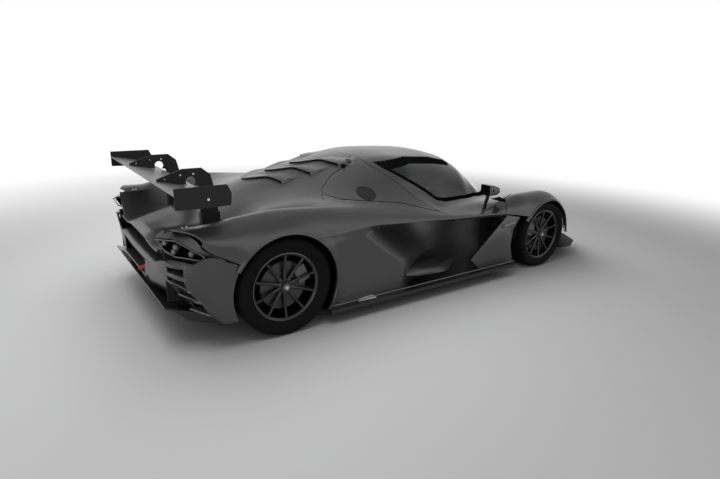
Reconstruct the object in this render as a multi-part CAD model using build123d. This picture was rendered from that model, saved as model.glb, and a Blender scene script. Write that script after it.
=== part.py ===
from build123d import *
from math import hypot
import os

# Lightweight closed sports car for the track. Millimetres, +X forward, +Y left, +Z up.
# The origin is on the floor, at the middle of the overall length and width.

# Driving sizes
length = 4626
width = 2040
height = 1155
wheelbase_share = 0.6161
overhang_share = 0.1719
wheelbase = round(length * wheelbase_share)
rear_overhang = round(length * overhang_share)
edge_lip = 20
body_half = width / 2 - edge_lip
axle_mid = -length / 2 + rear_overhang + wheelbase / 2
rear_axle = axle_mid - wheelbase / 2
front_axle = axle_mid + wheelbase / 2

# Walls and clearances
skin = 12
glass = 6
seat_gap = 0.3
moving_gap = 6
run_gap = 0.25
overrun = 400

# Wheels and tyres
rear_tyre_share = 0.304
front_tyre_share = 0.284
rim_share = 0.213
rear_tyre_radius = round(height * rear_tyre_share)
front_tyre_radius = round(height * front_tyre_share)
rim_radius = round(height * rim_share)
rear_tyre_width = 315
front_tyre_width = 275
rear_inset = 15
front_inset = 30
rear_outer_face = body_half - rear_inset
front_outer_face = body_half - front_inset
arch_gap = 36
front_arch_gap = 28
arch_depth = 440
floor_low_share = 0.078
floor_low = round(height * floor_low_share)
floor_thick = 30
floor_top = floor_low + floor_thick


def lx(share):
    """A place along the car, from a share of the wheelbase off the middle of the axles."""
    return axle_mid + share * wheelbase


def box(x0, x1, y0, y1, z0, z1):
    """A block between two corners."""
    return Pos((x0 + x1) / 2, (y0 + y1) / 2, (z0 + z1) / 2) * Box(x1 - x0, y1 - y0, z1 - z0)


def bar(start, end, radius):
    """A round bar between two points."""
    a = Vector(*start)
    b = Vector(*end)
    plane = Plane(origin=a, z_dir=(b - a).normalized())
    return extrude(plane * Circle(radius), (b - a).length)


def side_plate(points, y0, y1):
    """A plate whose outline is given in length and height, between two places across the car."""
    outline = make_face(Polyline(*[(x, z) for x, z in points], close=True))
    plane = Plane(origin=(0, y0, 0), x_dir=(1, 0, 0), z_dir=(0, -1, 0))
    return extrude(plane * outline, -(y1 - y0))


def floor_plate(points, z0, z1):
    """A plate whose outline is given in length and width, between two heights."""
    outline = make_face(Polyline(*points, close=True))
    return extrude(Plane(origin=(0, 0, z0)) * outline, z1 - z0)


def both(piece):
    """A left piece and its mirror image on the right."""
    return [piece, mirror(piece, about=Plane.XZ)]


def write(name, pieces):
    """Write one node, from one solid or a list of them."""
    solids = pieces if isinstance(pieces, list) else [pieces]
    flat = [solid for piece in solids for solid in piece.solids()]
    export_step(flat[0] if len(flat) == 1 else Compound(children=flat), "parts/" + name + ".step")


# The body's outside, as feature lines through sections across the car.
# Each row: place along the car as a share of the wheelbase, then for each line in order its
# share of the half width and its share of the height.
# Lines: sill, waist, belt, shoulder, crest, rim, valley, flank, cant, roof, top
SILL, WAIST, BELT, SHOULDER, CREST, RIM, VALLEY, FLANK, CANT, ROOF, TOP = range(11)
section_shares = [
    (-0.772, (0.93, 0.26), (0.93, 0.42), (0.94, 0.672), (0.955, 0.70), (0.87, 0.708), (0.69, 0.68), (0.58, 0.53),
     (0.34, 0.53), (0.22, 0.53), (0.11, 0.53), (0, 0.53)),
    (-0.7365, (0.94, 0.24), (0.94, 0.41), (0.95, 0.64), (0.96, 0.685), (0.87, 0.706), (0.69, 0.68), (0.59, 0.548),
     (0.34, 0.548), (0.23, 0.578), (0.12, 0.582), (0, 0.584)),
    (-0.684, (0.96, 0.20), (0.96, 0.40), (0.97, 0.597), (0.965, 0.66), (0.87, 0.704), (0.70, 0.685), (0.60, 0.562),
     (0.42, 0.56), (0.31, 0.595), (0.16, 0.60), (0, 0.602)),
    (-0.604, (0.98, 0.16), (0.98, 0.36), (0.99, 0.46), (0.995, 0.66), (0.88, 0.745), (0.73, 0.705), (0.60, 0.575),
     (0.48, 0.59), (0.37, 0.635), (0.19, 0.657), (0, 0.665)),
    (-0.5, (0.985, 0.104), (0.99, 0.36), (1.0, 0.60), (0.995, 0.68), (0.87, 0.762), (0.76, 0.742), (0.62, 0.715),
     (0.47, 0.722), (0.34, 0.745), (0.15, 0.78), (0, 0.792)),
    (-0.379, (0.985, 0.104), (0.99, 0.364), (1.0, 0.589), (0.985, 0.655), (0.88, 0.742), (0.80, 0.748), (0.66, 0.752),
     (0.48, 0.775), (0.32, 0.805), (0.14, 0.86), (0, 0.876)),
    (-0.26, (0.965, 0.104), (0.96, 0.312), (0.97, 0.602), (0.945, 0.645), (0.87, 0.702), (0.81, 0.726), (0.68, 0.778),
     (0.50, 0.838), (0.34, 0.88), (0.15, 0.925), (0, 0.937)),
    (-0.154, (0.93, 0.104), (0.92, 0.33), (0.95, 0.586), (0.93, 0.62), (0.87, 0.662), (0.82, 0.69), (0.69, 0.775),
     (0.56, 0.865), (0.42, 0.925), (0.20, 0.969), (0, 0.981)),
    (-0.035, (0.86, 0.104), (0.80, 0.33), (0.95, 0.569), (0.93, 0.593), (0.88, 0.623), (0.82, 0.655), (0.71, 0.736),
     (0.61, 0.86), (0.47, 0.95), (0.24, 0.989), (0, 1.0)),
    (0.088, (0.74, 0.104), (0.68, 0.312), (0.94, 0.548), (0.92, 0.561), (0.88, 0.576), (0.80, 0.602), (0.69, 0.636),
     (0.60, 0.805), (0.45, 0.926), (0.25, 0.976), (0, 0.993)),
    (0.218, (0.68, 0.104), (0.635, 0.312), (0.94, 0.535), (0.91, 0.546), (0.86, 0.558), (0.76, 0.593), (0.64, 0.623),
     (0.55, 0.753), (0.42, 0.857), (0.24, 0.913), (0, 0.935)),
    (0.302, (0.68, 0.104), (0.635, 0.312), (0.94, 0.519), (0.925, 0.56), (0.86, 0.598), (0.74, 0.60), (0.55, 0.606),
     (0.44, 0.701), (0.35, 0.762), (0.22, 0.81), (0, 0.835)),
    (0.393, (0.68, 0.104), (0.66, 0.312), (0.985, 0.485), (0.965, 0.58), (0.86, 0.648), (0.71, 0.62), (0.51, 0.545),
     (0.38, 0.589), (0.29, 0.636), (0.17, 0.68), (0, 0.697)),
    (0.5, (0.70, 0.104), (0.70, 0.312), (0.99, 0.45), (0.97, 0.60), (0.86, 0.652), (0.69, 0.61), (0.48, 0.49),
     (0.36, 0.494), (0.26, 0.502), (0.14, 0.511), (0, 0.515)),
    (0.614, (0.90, 0.13), (0.95, 0.25), (0.965, 0.346), (0.94, 0.485), (0.84, 0.565), (0.67, 0.53), (0.48, 0.40),
     (0.36, 0.407), (0.26, 0.42), (0.14, 0.433), (0, 0.437)),
    (0.719, (0.78, 0.12), (0.80, 0.17), (0.83, 0.21), (0.81, 0.28), (0.74, 0.335), (0.62, 0.33), (0.46, 0.29),
     (0.36, 0.305), (0.27, 0.32), (0.14, 0.335), (0, 0.34)),
    (0.8, (0.62, 0.10), (0.64, 0.125), (0.66, 0.155), (0.645, 0.19), (0.61, 0.22), (0.53, 0.222), (0.43, 0.208),
     (0.33, 0.225), (0.25, 0.242), (0.12, 0.255), (0, 0.26)),
]


def inward(points, depth):
    """The same points moved in by one wall, square to the line through them."""
    moved = []
    count = len(points)
    for i, (y, z) in enumerate(points):
        normals = []
        for a, b in ((i - 1, i), (i, i + 1)):
            if a >= 0 and b < count:
                dy = points[b][0] - points[a][0]
                dz = points[b][1] - points[a][1]
                size = hypot(dy, dz)
                normals.append((-dz / size, dy / size))
        if i == count - 1:
            normals.append((-normals[0][0], normals[0][1]))
        ny = sum(n[0] for n in normals)
        nz = sum(n[1] for n in normals)
        size = hypot(ny, nz)
        spread = max(size / len(normals), 0.6)
        moved.append((y + ny / size * depth / spread, z + nz / size * depth / spread))
    return moved


def section_at(x, depth=0):
    """The line points of the left half at one place, each (across, up), moved in by a depth."""
    share = (x - axle_mid) / wheelbase
    rows = section_shares
    ends = [(low, high) for low, high in zip(rows, rows[1:]) if low[0] <= share <= high[0]]
    low, high = ends[0] if ends else ((rows[0], rows[1]) if share < rows[0][0] else (rows[-2], rows[-1]))
    t = min(max((share - low[0]) / (high[0] - low[0]), 0), 1)
    start, end = ([(a * body_half, b * height) for a, b in row[1:]] for row in (low, high))
    if depth:
        start = inward(start, depth)
        end = inward(end, depth)
    return [(a[0] + (b[0] - a[0]) * t, a[1] + (b[1] - a[1]) * t) for a, b in zip(start, end)]


def places(x0, x1):
    """The section places between two ends, with the ends."""
    inner = [lx(row[0]) for row in section_shares]
    return [x0] + [x for x in inner if x0 < x < x1] + [x1]


def ruled(loops):
    """One solid through closed outlines, each a place along the car and its points."""
    wires = [Wire.make_polygon([Vector(x, y, z) for y, z in loop], close=True) for x, loop in loops]
    return Solid.make_loft(wires, ruled=True)


def side_strip(low, high, x0, x1, wall=skin):
    """A left panel between two feature lines, lofted through the sections."""
    loops = []
    for x in places(x0, x1):
        outer = section_at(x)[low:high + 1]
        inner = section_at(x, wall)[low:high + 1]
        loops.append((x, outer + inner[::-1]))
    return ruled(loops)


def top_strip(low, x0, x1, wall=skin):
    """A panel that spans the car over its top, from a line on the left to the same on the right."""
    loops = []
    for x in places(x0, x1):
        outer = section_at(x)[low:]
        inner = section_at(x, wall)[low:]
        right = [(-y, z) for y, z in outer[-2::-1]]
        right_in = [(-y, z) for y, z in inner[:-1]]
        loops.append((x, outer + right + right_in + inner[::-1]))
    return ruled(loops)


def wheel_well(axle, radius, inner_y):
    """The space of one wheel, left, from its inner wall to beyond the body's side."""
    tube = Pos(axle, inner_y, radius[1]) * Rot(-90, 0, 0) * Cylinder(
        radius[0], overrun * 2, align=(Align.CENTER, Align.CENTER, Align.MIN)
    )
    return tube


steer_reach = 47
rear_well_radius = rear_tyre_radius + arch_gap
front_well_radius = front_tyre_radius + front_arch_gap
rear_well = wheel_well(rear_axle, (rear_well_radius, rear_tyre_radius), rear_outer_face - arch_depth)
front_well = wheel_well(front_axle, (front_well_radius, front_tyre_radius), front_outer_face - arch_depth)
front_well += box(front_axle - front_tyre_radius - steer_reach, front_axle + front_tyre_radius + steer_reach,
                  front_outer_face - arch_depth, front_outer_face - edge_lip, floor_top, front_tyre_radius * 1.5)

# Canopy outline: its rear seam and window edges seen from the side, each as shares of the
# wheelbase and of the height; its front seam seen from above, as shares of wheelbase and half width.
rear_seam_shares = [(-0.155, 1.08), (-0.155, 0.972), (-0.142, 0.962), (-0.128, 0.898), (-0.08, 0.802),
                    (-0.037, 0.698), (0.02, 0.612), (0.071, 0.546), (0.071, 0.45)]
front_seam_shares = [(0.302, 1.2), (0.302, 0.93), (0.49, 0.30), (0.49, -0.30), (0.302, -0.93), (0.302, -1.2)]
window_shares = [(-0.118, 0.939), (0.0, 0.965), (0.12, 0.944), (0.2, 0.905), (0.2, 1.1), (0.6, 1.1),
                 (0.6, 0.558), (0.474, 0.558), (0.393, 0.575), (0.294, 0.61), (0.196, 0.625), (0.106, 0.63),
                 (0.068, 0.649), (0.03, 0.71), (-0.052, 0.821), (-0.105, 0.902)]


def side_points(shares, dx=0, dz=0):
    return [(lx(a) + dx, b * height + dz) for a, b in shares]


def canopy_space(gap):
    """The space of the canopy as one block, each seam moved in by a gap."""
    rear = side_points(rear_seam_shares, dx=gap)
    front = lx(front_seam_shares[2][0]) - gap
    outline = rear + [(front, rear[-1][1]), (front, rear[0][1])]
    block = side_plate(outline, -width, width)
    plan = [(lx(a) - gap, b * body_half) for a, b in front_seam_shares]
    back = lx(-0.3)
    plan = [(back, plan[0][1])] + plan + [(back, plan[-1][1])]
    return block & floor_plate(plan, floor_top, height + overrun)


canopy_block = canopy_space(moving_gap / 2)
canopy_hole = canopy_space(-moving_gap / 2)
window_block = side_plate(side_points(window_shares), -width, width)
tail_x = -length / 2
deck_tail_x = lx(-0.757)
nose_x = lx(0.8)
deck_x = lx(-0.604)
quarter_x = lx(0.12)


def make_canopy():
    """Canopy shell with its window cut, and the visor that fills it."""
    back = lx(-0.16)
    ahead = lx(0.5)
    whole = top_strip(BELT, back, ahead) & canopy_block
    shell = whole - window_block
    pane = top_strip(BELT, back, ahead, wall=glass) & canopy_block
    visor = pane & window_block
    return shell, visor


hinge_x = lx(0.53)
hinge_z = 0.455 * height
hinge_pin_radius = 9
tub_share = 0.59
tub_half = body_half * tub_share
tub_box_top = 0.4243 * height
tub_box_half = 0.56 * tub_half
hinge_pin_half = 170
ear_radius = 20
ear_width = 30
ear_y = 120


def make_hinge():
    """Cross pin with its brackets on the tub's nose, the canopy's two arms and the slots they swing in."""
    pin = Pos(hinge_x, 0, hinge_z) * Rot(90, 0, 0) * Cylinder(hinge_pin_radius, hinge_pin_half * 2)
    bracket = pin
    arms = []
    slots = []
    front = lx(front_seam_shares[2][0])
    for side in (1, -1):
        y = side * ear_y
        eye = Pos(hinge_x, y, hinge_z) * Rot(90, 0, 0) * Cylinder(ear_radius, ear_width)
        hole = Pos(hinge_x, y, hinge_z) * Rot(90, 0, 0) * Cylinder(hinge_pin_radius + run_gap, ear_width * 2)
        neck = side_plate(
            [(hinge_x, hinge_z - ear_radius), (hinge_x, hinge_z + ear_radius * 0.6),
             (front - ear_radius, hinge_z + ear_radius), (front - ear_radius, 0.53 * height),
             (front - ear_radius * 3, 0.54 * height), (front - ear_radius * 3, hinge_z - ear_radius)],
            y - ear_width / 2, y + ear_width / 2)
        arms.append(neck + eye - hole)
        slots.append(box(front - ear_radius * 4, hinge_x + ear_radius + moving_gap, y - ear_width / 2 - moving_gap,
                         y + ear_width / 2 + moving_gap, hinge_z, height))
        end = side * (hinge_pin_half - ear_width / 2)
        bracket += box(hinge_x - ear_radius, hinge_x + ear_radius, end - ear_width / 2, end + ear_width / 2,
                       tub_box_top, hinge_z + hinge_pin_radius)
    return bracket, arms, slots


def make_tyre(radius, breadth, outer_face, axle):
    """Slick tyre, revolved about the axle."""
    inner = outer_face - breadth
    bead = rim_radius - 8
    shoulder = 22
    wall = 26
    crown = 6
    profile = [
        (bead, inner + wall), (radius - shoulder * 3, inner), (radius - shoulder, inner + crown),
        (radius - crown, inner + shoulder), (radius, inner + breadth * 0.3), (radius, inner + breadth * 0.7),
        (radius - crown, outer_face - shoulder), (radius - shoulder, outer_face - crown),
        (radius - shoulder * 3, outer_face), (bead, outer_face - wall), (bead, outer_face - wall * 2),
        (radius - shoulder * 2, outer_face - wall), (radius - wall, outer_face - wall * 2),
        (radius - wall, inner + wall * 2), (radius - shoulder * 2, inner + wall), (bead, inner + wall * 2),
    ]
    face = Face(Wire.make_polygon([Vector(0, y, r) for r, y in profile], close=True))
    ring = revolve(face, Axis.Y)
    return Pos(axle, 0, radius) * ring


rim_wall = 7
hub_radius = 40
spoke_count = 10
spoke_root = 26
spoke_tip = 15
spoke_thick = 22
nut_radius = 30
rim_recess = 34


def make_rim(radius, breadth, outer_face, axle):
    """Rim with its barrel, ten spokes, hub and centre nut."""
    bead = rim_radius - 8 - seat_gap
    inner = outer_face - breadth
    lip = 26
    drop = 20
    well = breadth * 0.4
    profile = [
        (bead, inner + lip), (bead, inner + lip * 2), (bead - drop, inner + lip * 3), (bead - drop, inner + well * 1.6),
        (bead, outer_face - lip * 2), (bead, outer_face - lip), (bead - rim_wall, outer_face - lip),
        (bead - rim_wall, outer_face - lip * 2.2), (bead - drop - rim_wall, inner + well * 1.5),
        (bead - drop - rim_wall, inner + lip * 3), (bead - rim_wall, inner + lip * 1.8), (bead - rim_wall, inner + lip),
    ]
    rim = revolve(Face(Wire.make_polygon([Vector(0, y, r) for r, y in profile], close=True)), Axis.Y)
    face_y = outer_face - rim_recess
    spoke = [
        (hub_radius * 0.7, -spoke_root / 2), (bead - rim_wall / 2, -spoke_tip / 2),
        (bead - rim_wall / 2, spoke_tip / 2), (hub_radius * 0.7, spoke_root / 2),
    ]
    plane = Plane(origin=(0, face_y, 0), x_dir=(1, 0, 0), z_dir=(0, 1, 0))
    blade = extrude(plane * make_face(Polyline(*spoke, close=True)), -spoke_thick)
    for k in range(spoke_count):
        rim += Rot(0, 360 / spoke_count * (k + 0.5), 0) * blade
    hub = Pos(0, face_y, 0) * Rot(90, 0, 0) * Cylinder(
        hub_radius, hub_depth, align=(Align.CENTER, Align.CENTER, Align.MIN))
    nut = Pos(0, face_y - seat_gap, 0) * Rot(-90, 0, 0) * Cylinder(
        nut_radius, rim_recess * 0.8, align=(Align.CENTER, Align.CENTER, Align.MIN))
    return Pos(axle, 0, radius) * (rim + hub + nut)


disc_radius = 172
disc_thick = 32
hub_depth = 40
bell_depth = 30
stub_radius = 34


def make_disc(radius, outer_face, axle):
    """Brake disc on its bell, face to face with the back of the hub."""
    back = outer_face - rim_recess - hub_depth
    bell = Pos(0, back, 0) * Rot(90, 0, 0) * Cylinder(
        hub_radius * 1.7, bell_depth, align=(Align.CENTER, Align.CENTER, Align.MIN))
    plate = Pos(0, back, 0) * Rot(90, 0, 0) * Cylinder(
        disc_radius, disc_thick, align=(Align.CENTER, Align.CENTER, Align.MIN))
    bore = Pos(0, back - disc_thick * 3, 0) * Rot(-90, 0, 0) * Cylinder(
        stub_radius + run_gap, disc_thick * 2.5, align=(Align.CENTER, Align.CENTER, Align.MIN))
    return Pos(axle, 0, radius) * (bell + plate - bore)


caliper_angle = 25
caliper_half = 60
caliper_wall = 16
caliper_back = 26
caliper_face = 12
link_half = 30
upright_thick = 36
upright_half = 130


def upright_back(outer_face):
    """The place across the car where the upright starts, behind the brake disc."""
    return outer_face - rim_recess - hub_depth - disc_thick - moving_gap


def make_upright(radius, outer_face, axle, caliper_side):
    """Knuckle with its stub axle and the caliper bridging the disc."""
    y = upright_back(outer_face)
    plate = box(-upright_half * 0.5, upright_half * 0.5, y - upright_thick, y, -upright_half, upright_half)
    stub = Pos(0, y - upright_thick, 0) * Rot(-90, 0, 0) * Cylinder(
        stub_radius, upright_thick + moving_gap + disc_thick * 0.5, align=(Align.CENTER, Align.CENTER, Align.MIN))
    disc_y = outer_face - rim_recess - hub_depth - disc_thick / 2
    reach = disc_radius + moving_gap
    half_span = disc_thick / 2 + moving_gap
    body = box(disc_radius * 0.62, reach + caliper_wall, disc_y - half_span - caliper_back,
               disc_y + half_span + caliper_face, -caliper_half, caliper_half)
    slot = box(0, reach, disc_y - half_span, disc_y + half_span, -disc_radius, disc_radius)
    caliper = Rot(0, -caliper_angle if caliper_side > 0 else 180 + caliper_angle, 0) * (body - slot)
    link = box(0, disc_radius * 0.8, y - upright_thick, y - moving_gap, -link_half, link_half)
    link = Rot(0, -caliper_angle if caliper_side > 0 else 180 + caliper_angle, 0) * link
    return Pos(axle, 0, radius) * (plate + stub + link + caliper)


arm_radius = 11
arm_spread = 190
ball_radius = 17
rod_gap = 34


def make_arms(radius, outer_face, axle, inner_y):
    """Upper and lower wishbones of one axle, left and right, with a tie rod."""
    outer_y = upright_back(outer_face) - upright_thick - seat_gap
    pieces = []
    middle = box(-length, length, -inner_y, inner_y, 0, height)
    for level in (upright_half * 0.75, -upright_half * 0.75):
        tip = (axle, outer_y - ball_radius, radius + level)
        arm = Pos(*tip) * Sphere(ball_radius)
        for side in (1, -1):
            arm += bar(tip, (axle + side * arm_spread, inner_y - arm_radius * 2, radius + level * 0.9), arm_radius)
        pieces += both(arm - middle)
    rod = bar((axle - upright_half * 0.45, outer_y - rod_gap, radius), (axle - arm_spread, inner_y - arm_radius * 2, radius),
              arm_radius * 0.8)
    pieces += both(rod - middle)
    return pieces


# Floor, splitter and diffuser
plank_front = lx(0.333)
plank_rear = lx(-0.384)
floor_front = lx(0.60)
floor_rear = lx(-0.60)
narrow_y = 0.5 * body_half


def make_floor():
    """Flat floor, wide between the wheels and narrow beside them."""
    half = width / 2
    outline = [
        (floor_rear, narrow_y), (plank_rear - skin, narrow_y), (plank_rear, half), (plank_front, half),
        (plank_front + skin, narrow_y), (floor_front, narrow_y), (floor_front, -narrow_y),
        (plank_front + skin, -narrow_y), (plank_front, -half), (plank_rear, -half), (plank_rear - skin, -narrow_y),
        (floor_rear, -narrow_y),
    ]
    return floor_plate(outline, floor_low, floor_top)


splitter_low = 85
splitter_thick = 18
splitter_shares = [(0.58, 0.48), (0.635, 0.55), (0.64, 0.93), (0.70, 0.93), (0.76, 0.85), (0.81, 0.64),
                   (0.8443, 0.30), (0.8443, -0.30), (0.81, -0.64), (0.76, -0.85), (0.70, -0.93), (0.64, -0.93),
                   (0.635, -0.55), (0.58, -0.48)]


def make_splitter():
    """Front splitter, a thin plate with a rounded front edge seen from above."""
    front = length / 2
    outline = [(min(lx(a), front), b * body_half) for a, b in splitter_shares]
    return floor_plate(outline, floor_top, floor_top + splitter_thick)


strake_thick = 8
strake_count = 6
diffuser_half = 0.78 * body_half
diffuser_end_shares = (-0.7685, 0.265)
strake_shares = [(-0.7685, 0.265), (-0.7425, 0.221), (-0.7175, 0.157), (-0.66, 0.102), (-0.64, 0.078)]


def make_diffuser():
    """Rising ramp at the rear with upright strakes."""
    start = floor_rear - seat_gap
    (end, end_z), = side_points([diffuser_end_shares])
    ramp = side_plate([(start, floor_top), (end, end_z), (end, end_z - skin), (start, floor_low)],
                      -diffuser_half, diffuser_half)
    outline = [(start, floor_low), (start, floor_top)] + side_points(strake_shares)
    for k in range(strake_count):
        y = -diffuser_half + strake_thick / 2 + (diffuser_half * 2 - strake_thick) * k / (strake_count - 1)
        ramp += side_plate(outline, y - strake_thick / 2, y + strake_thick / 2)
    return ramp


# Tub
tub_wall = 30
tub_rear = lx(-0.158)
tub_front = lx(0.36)
tub_box_front = lx(0.575)
tub_top = 0.4675 * height
tub_nose_top = 0.3723 * height


def make_tub():
    """Hollow monocoque, open at the top under the canopy."""
    rear_foot = tub_rear + tub_wall
    outline = [(tub_rear, floor_top), (tub_front, floor_top), (tub_front, tub_nose_top), (lx(0.28), tub_top),
               (tub_rear, tub_top)]
    hollow = [(rear_foot, floor_top + tub_wall), (tub_front - tub_wall, floor_top + tub_wall),
              (tub_front - tub_wall, height), (rear_foot, height)]
    outer = side_plate(outline, -tub_half, tub_half)
    inner = side_plate(hollow, -tub_half + tub_wall, tub_half - tub_wall)
    roll = side_plate([(tub_rear, tub_top), (rear_foot, tub_top), (rear_foot, 0.9 * height), (tub_rear, 0.9 * height)],
                      -tub_half * 0.75, tub_half * 0.75)
    window = side_plate([(tub_rear - tub_wall, tub_top + tub_wall), (rear_foot + tub_wall, tub_top + tub_wall),
                         (rear_foot + tub_wall, 0.9 * height - tub_wall), (tub_rear - tub_wall, 0.9 * height - tub_wall)],
                        -tub_half * 0.75 + tub_wall, tub_half * 0.75 - tub_wall)
    nose_box = box(tub_front - tub_wall / 2, tub_box_front, -tub_box_half, tub_box_half, floor_top, tub_box_top)
    hollow_box = box(tub_front - tub_wall * 2, tub_box_front - tub_wall, -tub_box_half + tub_wall,
                     tub_box_half - tub_wall, floor_top + tub_wall, tub_box_top - tub_wall)
    return outer - inner + nose_box - hollow_box + (roll - window)


# Wing
wing_half = 0.974 * body_half
wing_plate = 6
wing_shares = [(-0.644, 0.862), (-0.685, 0.884), (-0.7474, 0.913), (-0.7474, 0.908), (-0.69, 0.852)]
endplate_shares = [(-0.7474, 0.949), (-0.7474, 0.84), (-0.69, 0.8355), (-0.63, 0.84), (-0.628, 0.905), (-0.637, 0.952)]
strut_shares = [(-0.733, 0.895), (-0.733, 0.919), (-0.7247, 0.927), (-0.674, 0.9706), (-0.628, 0.972),
                (-0.607, 0.93), (-0.599, 0.85), (-0.5905, 0.68), (-0.637, 0.68), (-0.632, 0.82), (-0.6385, 0.87)]
strut_y = 0.42 * body_half
strut_thick = 12
strut_hole_shares = (-0.655, 0.895)
strut_hole_radius = 34
foot_rise = 130
foot_thick = 60


def make_wing():
    """Wing plane, its two endplates and the two swan-neck struts with their feet."""
    nose, over, tail, under_tail, under = [Vector(x, z) for x, z in side_points(wing_shares)]
    outline = make_face(
        ThreePointArc(nose, over, tail) + Line(tail, under_tail) + ThreePointArc(under_tail, under, nose))
    plane = Plane(origin=(0, wing_half, 0), x_dir=(1, 0, 0), z_dir=(0, -1, 0))
    wing = extrude(plane * outline, wing_half * 2)
    endplates = both(side_plate(side_points(endplate_shares), wing_half, wing_half + wing_plate))
    hole = Pos(lx(strut_hole_shares[0]), strut_y, strut_hole_shares[1] * height) * Rot(90, 0, 0) * Cylinder(
        strut_hole_radius, strut_thick * 4)
    strut = side_plate(side_points(strut_shares), strut_y - strut_thick / 2, strut_y + strut_thick / 2)
    foot_z = strut_shares[7][1] * height
    foot = box(lx(strut_shares[8][0]), lx(strut_shares[7][0]), strut_y - foot_thick / 2, strut_y + foot_thick / 2,
               foot_z - foot_rise, foot_z + strut_thick * 2)
    strut = strut - hole - wing + foot
    return wing, endplates, strut


# Tail
corner_shares = [(-0.60, 0.445), (-0.676, 0.555), (-0.733, 0.511), (-0.7245, 0.394), (-0.6985, 0.31),
                 (-0.674, 0.212), (-0.63, 0.173), (-0.60, 0.21)]
corner_plan_shares = [(-0.60, 0.988), (-0.736, 0.93)]
# The panel behind each rear wheel wraps round the tail: its profile at three places across the car
wrap_places = [0.93, 0.75, 0.60]
wrap_shares = [
    [(-0.728, 0.52), (-0.7295, 0.453), (-0.7207, 0.38), (-0.6986, 0.305), (-0.6804, 0.2225), (-0.663, 0.173)],
    [(-0.765, 0.528), (-0.754, 0.459), (-0.7537, 0.408), (-0.73, 0.325), (-0.702, 0.236), (-0.677, 0.173)],
    [(-0.768, 0.528), (-0.763, 0.459), (-0.76, 0.408), (-0.744, 0.325), (-0.7228, 0.236), (-0.698, 0.173)],
]
slat_deep = 70
slat_thick = 8
slat_slot_share = 0.45
fascia_x0 = lx(-0.7655)
fascia_x1 = lx(-0.7515)
fascia_half = 0.62 * body_half
fascia_open_half = 0.22 * body_half
fascia_top_share = 0.448
fascia_low_share = 0.325
fascia_bar = 24


def make_wrap():
    """Tail panel of the left side with four slots, each slot over a slat, and the fifth slat on its lower edge."""
    rows = [(y * body_half, side_points(shares)) for y, shares in zip(wrap_places, wrap_shares)]
    wires = []
    for y, points in rows:
        loop = points + [(x + skin, z) for x, z in points[::-1]]
        wires.append(Wire.make_polygon([Vector(x, y, z) for x, z in loop], close=True))
    panel = Solid.make_loft(wires, ruled=True)
    (outer_y, outer), (inner_y, inner) = rows[:2]
    for k in range(1, len(outer) - 1):
        low, high = outer[k], outer[k - 1]
        gap = (high[1] - low[1]) * slat_slot_share
        slot = box(-length, lx(-0.6), inner_y, outer_y - skin * 2, low[1], low[1] + gap)
        panel -= slot
        ends = []
        for y, (x, z) in ((outer_y - skin, outer[k]), (inner_y, inner[k])):
            loop = [(x, z - slat_thick), (x, z), (x + slat_deep, z), (x + slat_deep, z - slat_thick)]
            ends.append(Wire.make_polygon([Vector(a, y, b) for a, b in loop], close=True))
        panel += Solid.make_loft(ends, ruled=True)
    return panel


def make_corners():
    """Rear corner panels: the side between wheel arch and tail, and the slotted panel that wraps round it."""
    (x0, y0), (x1, y1) = [(lx(a), b * body_half) for a, b in corner_plan_shares]
    plan = floor_plate([(x0, y0), (x1, y1), (x1, y1 - skin), (x0, y0 - skin)], 0, height)
    side = plan & side_plate(side_points(corner_shares), 0, width)
    return (side + make_wrap()) - rear_well


def make_fascia():
    """Rear fascia with its open centre between an upper and a lower bar."""
    top = fascia_top_share * height
    low = fascia_low_share * height
    plate = box(fascia_x0, fascia_x1, -fascia_half, fascia_half, low, top)
    centre = box(fascia_x0 - overrun, fascia_x1 + overrun, -fascia_open_half, fascia_open_half,
                 low + fascia_bar * 2, top - fascia_bar)
    return plate - centre


lamp_shares = [(-0.768, 0.655), (-0.736, 0.632), (-0.69, 0.56), (-0.7135, 0.545), (-0.746, 0.565)]
lamp_y0 = 0.70 * body_half
lamp_y1 = 0.90 * body_half
lens_radius = 16
lens_count = 4
lens_long = 64
lens_share = 0.60


def make_tail_lamps():
    """Lamp housings under the haunch tails, each with four round lenses."""
    housing = side_plate(side_points(lamp_shares), lamp_y0, lamp_y1)
    back = lx(lamp_shares[-1][0])
    lamps = housing
    for k in range(lens_count):
        y = lamp_y0 + (lamp_y1 - lamp_y0) * (k + 1) / (lens_count + 1)
        lamps += Pos(back, y, lens_share * height) * Rot(0, -90, 0) * Cylinder(
            lens_radius, lens_long, align=(Align.CENTER, Align.CENTER, Align.MIN))
    return lamps


strap_y = -0.2 * body_half
strap_width = 45
strap_long = 38
strap_thick = 5
pipe_radius = 45
pipe_wall = 3
pipe_share = 0.38


# Sides and front
blade_shares = [(0.2895, 0.517), (0.134, 0.211), (0.181, 0.104), (0.339, 0.104), (0.319, 0.262), (0.3235, 0.389),
                (0.352, 0.488)]
blade_y = 0.955 * body_half
marker_shares = [(0.2705, 0.439), (0.322, 0.4525)]
marker_radius = 19
lamp_plan_shares = [(0.675, 0.62), (0.725, 0.60), (0.742, 0.72), (0.70, 0.80)]


# Inside
seat_half = 0.365 * tub_half
seat_y = round(0.458 * tub_half)
seat_shares = [(0.055, 0.143), (0.072, 0.235), (-0.045, 0.20), (-0.122, 0.60), (-0.144, 0.60), (-0.13, 0.30),
               (-0.10, 0.13)]
bolster_shares = [(0.06, 0.26), (-0.03, 0.27), (-0.105, 0.56), (-0.135, 0.56), (-0.11, 0.30), (-0.09, 0.13),
                  (0.055, 0.143)]
bolster_thick = 40
wheel_centre_shares = (0.10, 0.58)
wheel_y = seat_y
wheel_radius = 140
grip_radius = 13
column_radius = 14
column_tilt = 20
column_long = 330
dash_shares = [(0.20, 0.42), (0.185, 0.50), (0.20, 0.585), (0.26, 0.585), (0.30, 0.52), (0.30, 0.44)]


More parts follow.
